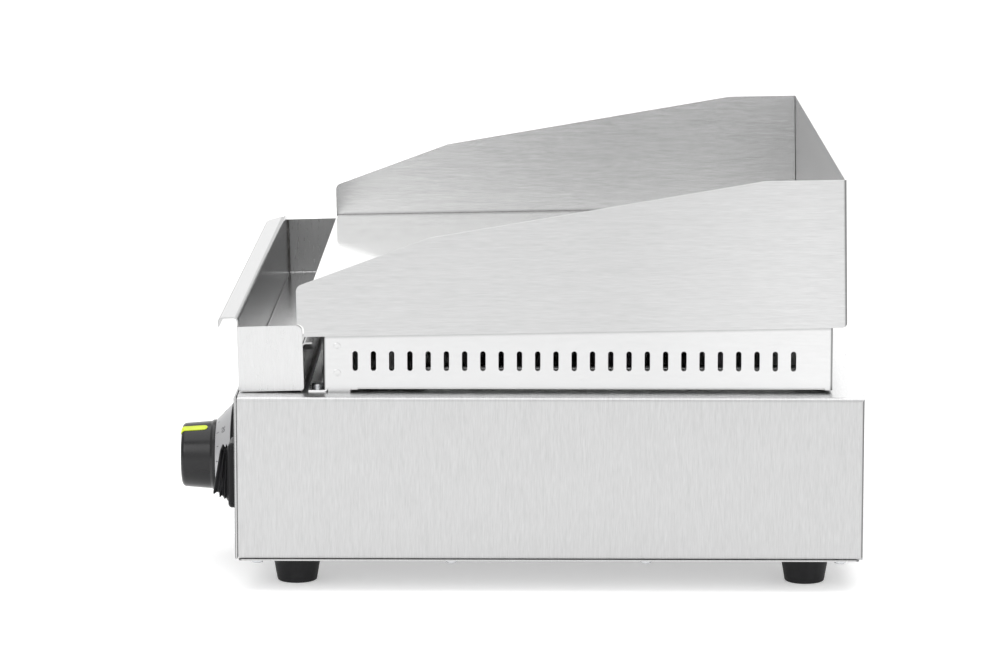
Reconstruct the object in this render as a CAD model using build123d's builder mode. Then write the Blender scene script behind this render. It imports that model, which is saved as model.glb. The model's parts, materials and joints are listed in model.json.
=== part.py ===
from build123d import *
import os
from math import cos, radians, sin

# Electric flat top griddle for a counter: a sheet steel base with the controls, a vented
# surround that holds the heating elements, a thick cooking plate with a three sided splash
# guard, and a grease tray that pulls out over the front.
# X is the width, Y the depth with the controls at -Y, and Z is up from the counter.
# The origin is the middle of the outer box, at the counter. Sizes are in millimetres.

os.makedirs("parts", exist_ok=True)

# ---------------------------------------------------------------- driving dimensions
sheet = 1.0                 # stainless sheet of the housings
play = 0.3                  # clearance between pieces that are not meant to touch
thread_play = 0.15          # radial clearance of a screw in its hole

base_width = 550.0
base_depth = 395.0
base_height = 103.6
foot_height = 20.0
knob_reach = 41.2           # knob's front face, out from the front panel
gland_reach = 12.2          # cable gland's end, out from the back

plate_tilt = 1.05           # degrees, the front edge is the low one
plate_thick = 8.0
plate_front = -143.9        # Y of the plate's front edge
plate_front_top = 169.9     # Z of the cooking surface at that edge

splash_width = 518.0
splash_depth = 345.6
splash_sheet = 1.2
splash_skirt = 9.7          # how far the guard hangs below the cooking surface
splash_front_height = 22.2
splash_low_bend = (84.3, 51.6)      # depth and height where the side's slope eases
splash_high_bend = (295.1, 83.7)    # depth and height where the side turns level

surround_width = 514.8
surround_front = -127.7
surround_rear = 192.9
surround_lift = 1.9         # gap between the base's top and the surround's bottom edge

slot_count = 25
slot_pitch = 11.48
slot_height = 12.6
slot_width = 3.4
slot_first = -107.4         # Y of the first slot's middle
slot_middle = 144.8         # Z of the slots' middle

tray_width = 516.0
tray_front = -180.8         # Y of the tray's front wall at the bottom
tray_floor_low = 125.0      # Z of the tray's lowest edge
tray_tilt = 1.5             # degrees, the front edge is the low one
tray_depth = 41.2
tray_front_height = 47.6
tray_end_height = 41.3
tray_rear_height = 30.3
tray_lip = 11.9
tray_lip_drop = 6.0
tray_rear_lip = 5.9

control_height = 68.0       # Z of the knob and the switch
knob_x = 169.0
switch_x = 229.0

# ---------------------------------------------------------------- derived places
half_width = base_width / 2
half_depth = (knob_reach + base_depth + gland_reach) / 2
base_bottom = foot_height + sheet
base_top = base_bottom + base_height
base_front = knob_reach - half_depth
base_rear = base_front + base_depth
base_middle = (base_front + base_rear) / 2

panel_thick = 1.4           # front panel, with its folded edge
panel_seam = 0.8            # open seam between front panel and shell
shell_front = base_front + panel_thick + panel_seam
panel_back = base_front + panel_thick

deck_up = (0, -sin(radians(plate_tilt)), cos(radians(plate_tilt)))
deck_back = (0, cos(radians(plate_tilt)), sin(radians(plate_tilt)))
deck_origin = (0, plate_front, plate_front_top)
deck = Plane(origin=deck_origin, x_dir=(1, 0, 0), z_dir=deck_up)
deck_side = Plane(origin=deck_origin, x_dir=deck_back, z_dir=(1, 0, 0))


def deck_point(x, back, up):
    """World place of a point given across, back along and square to the cooking surface."""
    return deck.from_local_coords(Vector(x, back, up))


def upright(y):
    """Plane across the object at depth y, seen from the front; negative extrudes go rearward."""
    return Plane.XZ.offset(-y)


def rounded_box(width, front, rear, bottom, top, top_radius, bottom_radius, rear_radius):
    """Box with bent-sheet corners along its sides' top and bottom and down its rear edges."""
    with BuildPart() as body:
        with BuildSketch(upright(front)) as section:
            with Locations((0, (bottom + top) / 2)):
                Rectangle(width, top - bottom)
            fillet(section.vertices().group_by(Axis.Y)[-1], top_radius)
            fillet(section.vertices().group_by(Axis.Y)[0], bottom_radius)
        extrude(amount=front - rear)
        with BuildSketch(Plane.XY.offset(bottom)) as plan:
            with Locations((0, (front + rear) / 2)):
                Rectangle(width, rear - front)
            fillet(plan.vertices().group_by(Axis.Y)[-1], rear_radius)
        extrude(amount=top - bottom, mode=Mode.INTERSECT)
    return body.part


def tube(points, radii, radius):
    """Round rod or wire along straight runs joined by arcs."""
    with BuildPart() as rod:
        with BuildLine() as route:
            FilletPolyline(*points, radius=radii)
        with BuildSketch(Plane(origin=route.line @ 0, z_dir=route.line % 0)):
            Circle(radius)
        sweep(path=route.line)
    return rod.part


def pan_screw(shank_radius, shank_length):
    """Cross head screw, head up and shank down from the origin."""
    head_radius = shank_radius * 2
    head_height = shank_radius * 1.2
    with BuildPart() as screw:
        Cylinder(head_radius, head_height, align=(Align.CENTER, Align.CENTER, Align.MIN))
        fillet(screw.edges().sort_by(Axis.Z)[-1], head_height * 0.55)
        Cylinder(shank_radius, shank_length, align=(Align.CENTER, Align.CENTER, Align.MAX))
        with Locations((0, 0, head_height)):
            Box(head_radius * 1.1, shank_radius * 0.35, head_height, mode=Mode.SUBTRACT)
            Box(shank_radius * 0.35, head_radius * 1.1, head_height, mode=Mode.SUBTRACT)
    return screw.part


def hex_nut(flats, height, bore_radius):
    """Hexagon nut standing on the origin, its corners eased at the free end."""
    with BuildPart() as nut:
        with BuildSketch():
            RegularPolygon(flats / 2, 6, major_radius=False)
            Circle(bore_radius, mode=Mode.SUBTRACT)
        extrude(amount=height)
        with BuildSketch():
            Circle(flats * 0.555)
        extrude(amount=height, taper=12, mode=Mode.INTERSECT)
    return nut.part


# ---------------------------------------------------------------- fastener places
hem = 14.0                  # width of the folded edges that the panels screw to
foot_inset = 38.0           # from the base's side to a foot's middle
bottom_screw_pitch = 122.5
bottom_screw_x = half_width - hem / 2
bottom_screws_at = [
    (side * bottom_screw_x, base_middle + step * bottom_screw_pitch)
    for side in (-1, 1)
    for step in (-1.5, -0.5, 0.5, 1.5)
]
foot_x = half_width - foot_inset
feet_at = [
    (side * foot_x, y) for side in (-1, 1) for y in (base_front + 37.0, base_rear - 34.3)
]
rear_screws_at = [
    (x, z)
    for x in (-240.0, -80.0, 80.0, 240.0)
    for z in (base_bottom + hem / 2, base_top - hem / 2)
]
small_screw = 1.9           # shank radius of the M4 sheet screws
foot_screw = 2.5            # shank radius of the M5 foot screws

tab_length = 14.1
tab_reach = 12.0
tab_front = surround_front + 3.0
surround_side_screw = (surround_width / 2 - tab_reach / 2, tab_front + tab_length / 2)
surround_rear_screw = (200.0, surround_rear - tab_reach / 2)
surround_screws_at = [
    (side * x, y) for side in (-1, 1) for x, y in (surround_side_screw, surround_rear_screw)
]
apron_flange_front = -137.1
apron_screw_y = -132.0
apron_screws_at = [(x, apron_screw_y) for x in (-240.0, -80.0, 80.0, 240.0)]
shield_width = 470.0
shield_flange = 12.0
shield_screw_x = (shield_width - shield_flange) / 2 + 0.5
shield_screws_at = [(side * shield_screw_x, y) for side in (-1, 1) for y in (-50.0, 165.0)]

cable_opening = (100.0, 52.0)       # in the base's top, under the elements' terminals
cable_opening_y = -93.0

# ---------------------------------------------------------------- base shell
shell_top_radius = 3.0
shell_bottom_radius = 2.5
shell_rear_radius = 1.8
shell_outer = rounded_box(
    base_width, shell_front, base_rear, base_bottom, base_top,
    shell_top_radius, shell_bottom_radius, shell_rear_radius,
)
shell_inner = rounded_box(
    base_width - 2 * sheet, shell_front - hem, base_rear - sheet,
    base_bottom + sheet, base_top - sheet,
    shell_top_radius - sheet, shell_bottom_radius - sheet, shell_rear_radius - sheet,
)
with BuildPart() as base_shell:
    add(shell_outer)
    add(shell_inner, mode=Mode.SUBTRACT)
    with BuildSketch(Plane.XY.offset(base_bottom)):
        with Locations((0, base_middle)):
            Rectangle(base_width - 2 * hem, base_depth - 2 * hem)
        with Locations((0, shell_front)):
            Rectangle(base_width - 2 * hem, 2 * hem)
        with Locations(*bottom_screws_at):
            Circle(small_screw + thread_play)
    extrude(amount=sheet, mode=Mode.SUBTRACT)
    with BuildSketch(upright(base_rear)):
        with Locations((0, (base_bottom + base_top) / 2)):
            Rectangle(base_width - 2 * hem, base_height - 2 * hem)
        with Locations(*rear_screws_at):
            Circle(small_screw + thread_play)
    extrude(amount=sheet, mode=Mode.SUBTRACT)
    with BuildSketch(Plane.XY.offset(base_top)):
        with Locations(*surround_screws_at, *apron_screws_at, *shield_screws_at):
            Circle(small_screw + thread_play)
        with Locations((0, cable_opening_y)):
            RectangleRounded(*cable_opening, 6.0)
    extrude(amount=-sheet, mode=Mode.SUBTRACT)
base_shell.part.label = "base_shell"
export_step(base_shell.part, "parts/base_shell.step")

# ---------------------------------------------------------------- front panel
lamp_radius = 4.0
lamps_x = (84.0, 104.0)
shaft_hole = 5.0
thermostat_screw_offset = 14.0
switch_cutout = (22.0, 31.0)
flange_length = 9.0
flange_width = base_width - 2 * (sheet + play)
flange_height = base_height - 2 * (sheet + play)
with BuildPart() as front_panel:
    with BuildSketch(upright(base_front)):
        with Locations((0, (base_bottom + base_top) / 2)):
            RectangleRounded(base_width, base_height, 1.6)
    extrude(amount=-panel_thick)
    fillet(front_panel.edges().group_by(Axis.Y)[0], 0.9)
    with BuildSketch(upright(panel_back)):
        with Locations((0, (base_bottom + base_top) / 2)):
            RectangleRounded(flange_width, flange_height, 2.6)
            RectangleRounded(flange_width - 2 * sheet, flange_height - 2 * sheet, 1.6,
                             mode=Mode.SUBTRACT)
    extrude(amount=-flange_length)
    with BuildSketch(upright(base_front)):
        with Locations((knob_x, control_height)):
            Circle(shaft_hole)
            with Locations((-thermostat_screw_offset, 0), (thermostat_screw_offset, 0)):
                Circle(small_screw + thread_play)
        with Locations((switch_x, control_height)):
            Rectangle(*switch_cutout)
        with Locations(*[(x, control_height) for x in lamps_x]):
            Circle(lamp_radius + thread_play)
    extrude(amount=-panel_thick, mode=Mode.SUBTRACT)
front_panel.part.label = "front_panel"
export_step(front_panel.part, "parts/front_panel.step")

# ---------------------------------------------------------------- rear panel
gland_x = 70.0
gland_z = 56.0
gland_thread = 8.0
earth_x = 20.0
earth_z = 50.0
earth_radius = 3.0
limiter_x = -140.0
limiter_thread = 4.0
rear_panel_front = base_rear - 2 * sheet
vent_groups_x = (-30.0, 225.0, -215.0)
with BuildPart() as rear_panel:
    with BuildSketch(upright(base_rear - sheet)):
        with Locations((0, (base_bottom + base_top) / 2)):
            Rectangle(base_width - 8.0, base_height - 8.0)
        with Locations((gland_x, gland_z)):
            Circle(gland_thread + thread_play, mode=Mode.SUBTRACT)
        with Locations((earth_x, earth_z)):
            Circle(earth_radius + thread_play, mode=Mode.SUBTRACT)
        with Locations((limiter_x, control_height)):
            Circle(limiter_thread + thread_play, mode=Mode.SUBTRACT)
        with Locations(*rear_screws_at):
            Circle(small_screw + thread_play, mode=Mode.SUBTRACT)
        with Locations(*[(x, control_height + 14.0) for x in vent_groups_x]):
            with GridLocations(9.0, 0, 6, 1):
                SlotOverall(26.0, 3.6, rotation=90, mode=Mode.SUBTRACT)
    extrude(amount=sheet)
rear_panel.part.label = "rear_panel"
export_step(rear_panel.part, "parts/rear_panel.step")

with BuildPart() as rear_panel_screws:
    rear_screw = pan_screw(small_screw, 8.0)
    with Locations(*[Location((x, base_rear, z), (-90, 0, 0)) for x, z in rear_screws_at]):
        add(rear_screw)
rear_panel_screws.part.label = "rear_panel_screws"
export_step(rear_panel_screws.part, "parts/rear_panel_screws.step")

# ---------------------------------------------------------------- bottom plate and feet
with BuildPart() as bottom_plate:
    with BuildSketch(Plane.XY.offset(foot_height)):
        with Locations((0, base_middle)):
            RectangleRounded(base_width - 1.0, base_depth - 4.0, 3.0)
        with Locations(*bottom_screws_at):
            Circle(small_screw + thread_play, mode=Mode.SUBTRACT)
        with Locations(*feet_at):
            Circle(foot_screw + thread_play, mode=Mode.SUBTRACT)
        with Locations((0, base_middle)):
            with GridLocations(16.0, 150.0, 20, 2):
                SlotOverall(44.0, 5.0, rotation=90, mode=Mode.SUBTRACT)
    extrude(amount=sheet)
bottom_plate.part.label = "bottom_plate"
export_step(bottom_plate.part, "parts/bottom_plate.step")

with BuildPart() as bottom_screws:
    bottom_screw = pan_screw(small_screw, 6.0)
    with Locations(*[Location((x, y, foot_height), (180, 0, 0)) for x, y in bottom_screws_at]):
        add(bottom_screw)
bottom_screws.part.label = "bottom_screws"
export_step(bottom_screws.part, "parts/bottom_screws.step")

foot_top_radius = 16.0
foot_bottom_radius = 12.5
foot_recess_radius = 5.6
foot_recess_depth = 13.0
with BuildPart() as rubber_feet:
    with BuildSketch(Plane.XZ) as foot_section:
        with BuildLine():
            Polyline(
                (foot_recess_radius, 0),
                (foot_bottom_radius, 0),
                (foot_top_radius, foot_height),
                (foot_screw + thread_play, foot_height),
                (foot_screw + thread_play, foot_recess_depth),
                (foot_recess_radius, foot_recess_depth),
                close=True,
            )
        make_face()
        fillet(foot_section.vertices().sort_by(Axis.X)[-1], 0.8)
        fillet(foot_section.vertices().group_by(Axis.Y)[0].sort_by(Axis.X)[-1], 1.4)
    foot_shape = revolve(axis=Axis.Z, mode=Mode.PRIVATE)
    with Locations(*feet_at):
        add(foot_shape)
rubber_feet.part.label = "rubber_feet"
export_step(rubber_feet.part, "parts/rubber_feet.step")

with BuildPart() as foot_screws:
    long_screw = pan_screw(foot_screw, 15.0)
    with Locations(*[Location((x, y, foot_recess_depth), (180, 0, 0)) for x, y in feet_at]):
        add(long_screw)
foot_screws.part.label = "foot_screws"
export_step(foot_screws.part, "parts/foot_screws.step")

with BuildPart() as foot_nuts:
    foot_nut = hex_nut(8.0, 4.0, foot_screw + thread_play)
    with Locations(*[(x, y, base_bottom) for x, y in feet_at]):
        add(foot_nut)
foot_nuts.part.label = "foot_nuts"
export_step(foot_nuts.part, "parts/foot_nuts.step")

# ---------------------------------------------------------------- vented surround
surround_bottom = base_top + surround_lift
surround_half = surround_width / 2
surround_return = 10.0     # width of the folds at the front ends of the sides
surround_bend = 2.2
surround_flange = 14.0
flange_start = 36.0         # the top flange begins this far back along the deck
slots_at = [(slot_first + step * slot_pitch, slot_middle) for step in range(slot_count)]
deck_length = (surround_rear - plate_front) / cos(radians(plate_tilt))
wall_stock = 60.0           # height of the walls before they are cut to the deck's slope
side_return = 8.0           # width of the fold under each side
side_return_front = -106.0
side_return_rear = 188.0
side_bend = 1.4             # outer radius of that fold
with BuildPart() as side_fold:
    with BuildSketch(upright(side_return_front)):
        with BuildLine():
            FilletPolyline(
                (surround_half - side_return, surround_bottom),
                (surround_half, surround_bottom),
                (surround_half, surround_bottom + side_return),
                radius=side_bend,
            )
            offset(amount=sheet, side=Side.LEFT)
        make_face()
    extrude(amount=side_return_front - side_return_rear)

with BuildPart() as vent_surround:
    with BuildSketch(Plane.XY.offset(surround_bottom)):
        with BuildLine():
            FilletPolyline(
                (-surround_half + surround_return, surround_front),
                (-surround_half, surround_front),
                (-surround_half, surround_rear),
                (surround_half, surround_rear),
                (surround_half, surround_front),
                (surround_half - surround_return, surround_front),
                radius=surround_bend,
            )
            offset(amount=sheet, side=Side.RIGHT)
        make_face()
    extrude(amount=wall_stock)
    with BuildSketch(Plane.XY.offset(surround_bottom)):
        with Locations((0, side_return_front)):
            Rectangle(2 * surround_half, side_return_rear - side_return_front,
                      align=(Align.CENTER, Align.MIN))
    extrude(amount=side_bend, mode=Mode.SUBTRACT)
    add(side_fold.part)
    add(mirror(side_fold.part, about=Plane.YZ, mode=Mode.PRIVATE))
    with BuildSketch(deck.offset(-plate_thick)):
        Rectangle(2 * base_width, 2 * base_depth)
        with Locations((0, base_depth)):
            Rectangle(2 * base_width, 2 * base_depth)
    extrude(amount=wall_stock, mode=Mode.SUBTRACT)
    with BuildSketch(deck.offset(-plate_thick - sheet)):
        with Locations((0, deck_length - sheet)):
            Rectangle(surround_width - sheet, deck_length - sheet - flange_start,
                      align=(Align.CENTER, Align.MAX))
        with Locations((0, deck_length - surround_flange)):
            Rectangle(surround_width - 2 * surround_flange, deck_length,
                      align=(Align.CENTER, Align.MAX), mode=Mode.SUBTRACT)
    extrude(amount=sheet)
    for side in (-1, 1):
        tab_x = side * (surround_half - tab_reach / 2)
        with Locations((tab_x, tab_front + tab_length / 2, base_top)):
            Box(tab_reach, tab_length, sheet, align=(Align.CENTER, Align.CENTER, Align.MIN))
        with Locations((side * (surround_half - sheet / 2), tab_front + tab_length / 2, base_top)):
            Box(sheet, tab_length, surround_lift + sheet,
                align=(Align.CENTER, Align.CENTER, Align.MIN))
        with Locations((side * surround_rear_screw[0], surround_rear - tab_reach / 2, base_top)):
            Box(tab_length, tab_reach, sheet, align=(Align.CENTER, Align.CENTER, Align.MIN))
        with Locations((side * surround_rear_screw[0], surround_rear - sheet / 2, base_top)):
            Box(tab_length, sheet, surround_lift + sheet,
                align=(Align.CENTER, Align.CENTER, Align.MIN))
    with BuildSketch(Plane.XY.offset(base_top)):
        with Locations(*surround_screws_at):
            Circle(small_screw + thread_play)
    extrude(amount=sheet, mode=Mode.SUBTRACT)
    with BuildSketch(Plane.YZ.offset(-base_width / 2)):
        with Locations(*slots_at):
            SlotOverall(slot_height, slot_width, rotation=90)
    extrude(amount=base_width, mode=Mode.SUBTRACT)
    with BuildSketch(upright(surround_rear + sheet)):
        with Locations((0, slot_middle)):
            with GridLocations(slot_pitch, 0, slot_count, 1):
                SlotOverall(slot_height, slot_width, rotation=90)
    extrude(amount=3 * sheet, mode=Mode.SUBTRACT)
vent_surround.part.label = "vent_surround"
export_step(vent_surround.part, "parts/vent_surround.step")

# ---------------------------------------------------------------- front apron
apron_wall = surround_front + sheet + play      # Y of the apron's front face
apron_top = 160.9
apron_gap = 3.4             # from the surround's side to the apron's end
apron_half = surround_half - apron_gap
apron_top_flange = 12.0
with BuildPart() as front_apron:
    with BuildSketch(Plane.YZ.offset(-apron_half)):
        with BuildLine():
            FilletPolyline(
                (apron_flange_front, base_top),
                (apron_wall + sheet, base_top),
                (apron_wall + sheet, apron_top),
                (apron_wall + apron_top_flange, apron_top),
                radius=1.5,
            )
            offset(amount=sheet, side=Side.LEFT)
        make_face()
    extrude(amount=2 * apron_half)
    with BuildSketch(Plane.XY.offset(base_top)):
        with Locations(*apron_screws_at):
            Circle(small_screw + thread_play)
    extrude(amount=sheet, mode=Mode.SUBTRACT)
front_apron.part.label = "front_apron"
export_step(front_apron.part, "parts/front_apron.step")

# ---------------------------------------------------------------- cooking plate and guard
weld_width = 1.2
plate_half = splash_width / 2 - splash_sheet - weld_width
plate_depth = splash_depth - splash_sheet - weld_width
with BuildPart() as griddle_plate:
    with BuildSketch(deck):
        Rectangle(2 * plate_half, plate_depth, align=(Align.CENTER, Align.MIN))
    extrude(amount=-plate_thick)
    front_edges = griddle_plate.edges().filter_by(Axis.X).group_by(Axis.Y)[0]
    fillet(front_edges.sort_by(Axis.Z)[-1], 1.5)
griddle_plate.part.label = "griddle_plate"
export_step(griddle_plate.part, "parts/griddle_plate.step")

splash_half = splash_width / 2
splash_corner = 2.4         # outer bend radius at the rear corners
splash_notch = 4.4          # step back under the front edge, over the tray's end
splash_notch_drop = 1.9
splash_rounding = [         # corners of the side's outline and their radii
    ((0, splash_front_height), 4.5),
    ((splash_depth, -splash_skirt), 3.7),
    ((splash_notch, -splash_notch_drop), 3.4),
]
with BuildPart() as splash_guard:
    with BuildSketch(deck.offset(-splash_skirt)):
        with BuildLine():
            FilletPolyline(
                (-splash_half, 0),
                (-splash_half, splash_depth),
                (splash_half, splash_depth),
                (splash_half, 0),
                radius=splash_corner,
            )
            offset(amount=splash_sheet, side=Side.RIGHT)
        make_face()
    extrude(amount=splash_skirt + splash_high_bend[1])
    with BuildSketch(deck_side.offset(-base_width / 2)) as side_outline:
        with BuildLine():
            Polyline(
                (0, -splash_notch_drop),
                (0, splash_front_height),
                splash_low_bend,
                splash_high_bend,
                (splash_depth, splash_high_bend[1]),
                (splash_depth, -splash_skirt),
                (splash_notch, -splash_skirt),
                (splash_notch, -splash_notch_drop),
                close=True,
            )
        make_face()
        for corner, rounding in splash_rounding:
            fillet(side_outline.vertices().sort_by_distance(corner)[0], rounding)
    extrude(amount=base_width, mode=Mode.INTERSECT)
splash_guard.part.label = "splash_guard"
export_step(splash_guard.part, "parts/splash_guard.step")

weld_drop = 4.0
weld_start = 6.0
with BuildPart() as splash_weld:
    with BuildSketch(deck.offset(-weld_drop)):
        with BuildLine():
            Polyline(
                (-plate_half, weld_start),
                (-plate_half, plate_depth),
                (plate_half, plate_depth),
                (plate_half, weld_start),
            )
            offset(amount=weld_width, side=Side.LEFT)
        make_face()
    extrude(amount=weld_drop)
splash_weld.part.label = "splash_weld"
export_step(splash_weld.part, "parts/splash_weld.step")

# ---------------------------------------------------------------- grease tray
tray_half = tray_width / 2
tray_back = (0, cos(radians(tray_tilt)), sin(radians(tray_tilt)))
tray_corner = (-tray_half, tray_front, tray_floor_low)
tray_end_plane = Plane(origin=tray_corner, x_dir=tray_back, z_dir=(1, 0, 0))
tray_bend = 2.0
tray_wall_lean = tray_front_height * sin(radians(tray_tilt))
tray_wall_front = tray_front - tray_wall_lean       # Y of the front wall at its top
tray_wall_top = tray_floor_low + tray_front_height * cos(radians(tray_tilt))
tray_lip_end = 55.0         # the lip's outer edge stops this far short of the left end
tray_fold_end = 28.0        # and its fold this far
tray_wall_drop = 4.3        # fall of the front wall's top from there to the left end
with BuildPart() as tray_pan:
    with BuildSketch(tray_end_plane.offset(sheet)):
        with BuildLine():
            FilletPolyline(
                (sheet - tray_lip, tray_front_height - tray_lip_drop),
                (sheet - tray_lip, tray_front_height - sheet),
                (0, tray_front_height - sheet),
                (0, 0),
                (tray_depth, 0),
                (tray_depth, tray_rear_height - sheet),
                (tray_depth + tray_rear_lip, tray_rear_height - sheet),
                radius=tray_bend,
            )
            offset(amount=sheet, side=Side.RIGHT)
        make_face()
    extrude(amount=tray_width - 2 * sheet)
    with BuildSketch(Plane.XY.offset(tray_floor_low)):
        with Locations((-tray_half, tray_wall_front)):
            Polygon(
                (-sheet, -2 * tray_lip),
                (2 * tray_lip_end - tray_fold_end, -2 * tray_lip),
                (tray_fold_end, 0),
                (-sheet, 0),
                align=None,
            )
    extrude(amount=2 * tray_front_height, mode=Mode.SUBTRACT)
    with BuildSketch(upright(tray_wall_front - sheet)):
        with Locations((-tray_half, tray_wall_top)):
            Polygon(
                (-sheet, -tray_wall_drop),
                (tray_fold_end, 0),
                (tray_fold_end, tray_lip),
                (-sheet, tray_lip),
                align=None,
            )
    extrude(amount=-2 * tray_lip, mode=Mode.SUBTRACT)
tray_pan.part.label = "tray_pan"
export_step(tray_pan.part, "parts/tray_pan.step")

tray_end_fillet = 3.6
with BuildPart() as tray_ends:
    with BuildSketch(tray_end_plane) as end_outline:
        Rectangle(tray_depth - play / 3, tray_end_height, align=Align.MIN)
        fillet(end_outline.vertices().group_by(Axis.Y)[0], tray_bend)
        fillet(end_outline.vertices().group_by(Axis.Y)[-1].sort_by(Axis.X)[-1], tray_end_fillet)
    extrude(amount=sheet)
    mirror(about=Plane.YZ)
tray_ends.part.label = "tray_ends"
export_step(tray_ends.part, "parts/tray_ends.step")

# ---------------------------------------------------------------- heating elements
element_radius = 4.25
under_plate_gap = 0.2
element_drop = plate_thick + under_plate_gap + element_radius       # centre line below the cooking surface
element_runs = (30.0, 98.0, 166.0, 234.0)               # X of the four straight runs
element_turn = 33.5
element_back = 305.0
element_inner_front = 105.0
element_legs = (60.0, 38.0)                              # deck depth of the two terminals
element_leg_bottom = 112.0
element_leg_radius = 12.0


def element_points(side):
    """Centre line of one serpentine element, from its first terminal to its second."""
    inner, second, third, outer = [side * x for x in element_runs]
    rear_leg, front_leg = element_legs
    flat = [
        (inner, rear_leg), (inner, element_back), (second, element_back),
        (second, element_inner_front), (third, element_inner_front),
        (third, element_back), (outer, element_back), (outer, front_leg), (inner, front_leg),
    ]
    points = [deck_point(x, back, -element_drop) for x, back in flat]
    start = Vector(points[0].X, points[0].Y, element_leg_bottom)
    end = Vector(points[-1].X, points[-1].Y, element_leg_bottom)
    return [start, *points, end]


element_radii = [element_leg_radius] + [element_turn] * 7 + [element_leg_radius]
with BuildPart() as right_element:
    add(tube(element_points(1), element_radii, element_radius))
right_element.part.label = "right_element"
export_step(right_element.part, "parts/right_element.step")

with BuildPart() as left_element:
    add(tube(element_points(-1), element_radii, element_radius))
left_element.part.label = "left_element"
export_step(left_element.part, "parts/left_element.step")

terminal_bush = (5.5, 9.0)          # radius and length
terminal_pin = (1.8, 20.0)
terminal_places = [
    (side * element_runs[0], deck_point(0, back, -element_drop).Y)
    for side in (-1, 1)
    for back in element_legs
]
with BuildPart() as element_terminals:
    with Locations(*[(x, y, element_leg_bottom) for x, y in terminal_places]):
        Cylinder(*terminal_bush, align=(Align.CENTER, Align.CENTER, Align.MAX))
        Cylinder(*terminal_pin, align=(Align.CENTER, Align.CENTER, Align.MAX))
element_terminals.part.label = "element_terminals"
export_step(element_terminals.part, "parts/element_terminals.step")

# ---------------------------------------------------------------- element clamps
clamp_rows = (140.0, 205.0, 270.0)
clamp_width = 20.0
clamp_thick = 3.0
clamp_half = 246.0
clamp_top = element_drop + element_radius + under_plate_gap
stud_radius = 3.0
stud_columns = (-200.0, -64.0, 64.0, 200.0)
stud_end = 8.0              # length of a stud past the clamp bar
stud_reach = clamp_top + clamp_thick + stud_end
studs_at = [(x, back) for x in stud_columns for back in clamp_rows]
strap_at = (0.0, 225.0)
m6_nut = (10.0, 5.0)        # across flats and height
with BuildPart() as clamp_bars:
    with BuildSketch(deck.offset(-clamp_top)):
        with Locations(*[(0, back) for back in clamp_rows]):
            Rectangle(2 * clamp_half, clamp_width)
        with Locations(*studs_at):
            Circle(stud_radius + thread_play, mode=Mode.SUBTRACT)
    extrude(amount=-clamp_thick)
clamp_bars.part.label = "clamp_bars"
export_step(clamp_bars.part, "parts/clamp_bars.step")

strap_stud_radius = 2.0
bulb_radius = 3.0
strap_drop = plate_thick + 2 * bulb_radius + 0.4
strap_thick = 1.2
strap_size = (44.0, 12.0)
strap_stud_end = 5.0
strap_nut_size = (7.0, 3.2)
with BuildPart() as plate_studs:
    with BuildSketch(deck.offset(-plate_thick)):
        with Locations(*studs_at):
            Circle(stud_radius)
    extrude(amount=plate_thick - stud_reach)
    with BuildSketch(deck.offset(-plate_thick)):
        with Locations(strap_at):
            Circle(strap_stud_radius)
    extrude(amount=plate_thick - strap_drop - strap_thick - strap_stud_end)
plate_studs.part.label = "plate_studs"
export_step(plate_studs.part, "parts/plate_studs.step")

with BuildPart() as clamp_nuts:
    clamp_nut = hex_nut(*m6_nut, stud_radius + thread_play)
    nut_plane = deck.offset(-clamp_top - clamp_thick)
    for x, back in studs_at:
        nut_place = Plane(nut_plane.from_local_coords(Vector(x, back, 0)),
                          x_dir=(1, 0, 0), z_dir=-nut_plane.z_dir)
        with Locations(nut_place):
            add(clamp_nut)
clamp_nuts.part.label = "clamp_nuts"
export_step(clamp_nuts.part, "parts/clamp_nuts.step")

# ---------------------------------------------------------------- heat shield, insulation
shield_top = 136.6
shield_leg = shield_width / 2 - shield_flange
shield_front = -64.0
shield_rear = 182.0
with BuildPart() as heat_shield:
    with BuildSketch(upright(shield_front)):
        with BuildLine():
            FilletPolyline(
                (-shield_width / 2, base_top),
                (-shield_leg, base_top),
                (-shield_leg, shield_top - sheet),
                (shield_leg, shield_top - sheet),
                (shield_leg, base_top),
                (shield_width / 2, base_top),
                radius=1.5,
            )
            offset(amount=sheet, side=Side.LEFT)
        make_face()
    extrude(amount=shield_front - shield_rear)
    with BuildSketch(Plane.XY.offset(base_top)):
        with Locations(*shield_screws_at):
            Circle(small_screw + thread_play)
    extrude(amount=sheet, mode=Mode.SUBTRACT)
heat_shield.part.label = "heat_shield"
export_step(heat_shield.part, "parts/heat_shield.step")

top_screws_at = [*surround_screws_at, *apron_screws_at, *shield_screws_at]
with BuildPart() as top_screws:
    flange_screw = pan_screw(small_screw, 5.0)
    with Locations(*[(x, y, base_top + sheet) for x, y in top_screws_at]):
        add(flange_screw)
top_screws.part.label = "top_screws"
export_step(top_screws.part, "parts/top_screws.step")

with BuildPart() as insulation_pad:
    with BuildSketch(Plane.XY.offset(base_top)):
        with Locations((0, (shield_front + shield_rear) / 2)):
            RectangleRounded(2 * shield_leg - 6.0, shield_rear - shield_front - 4.0, 4.0)
    extrude(amount=shield_top - sheet - base_top - play)
    fillet(insulation_pad.edges().group_by(Axis.Z)[-1], 1.5)
insulation_pad.part.label = "insulation_pad"
export_step(insulation_pad.part, "parts/insulation_pad.step")

# ---------------------------------------------------------------- sensing bulbs and strap
bulb_drop = plate_thick + under_plate_gap + bulb_radius
bulb_front = 190.0
bulb_rear = 265.0
capillary_radius = 0.8
thermostat_depth = 32.0
thermostat_rear = panel_back + thermostat_depth
limiter_front = rear_panel_front - 24.0
drop_back = 68.0            # deck depth where the capillaries go down into the base


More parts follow.
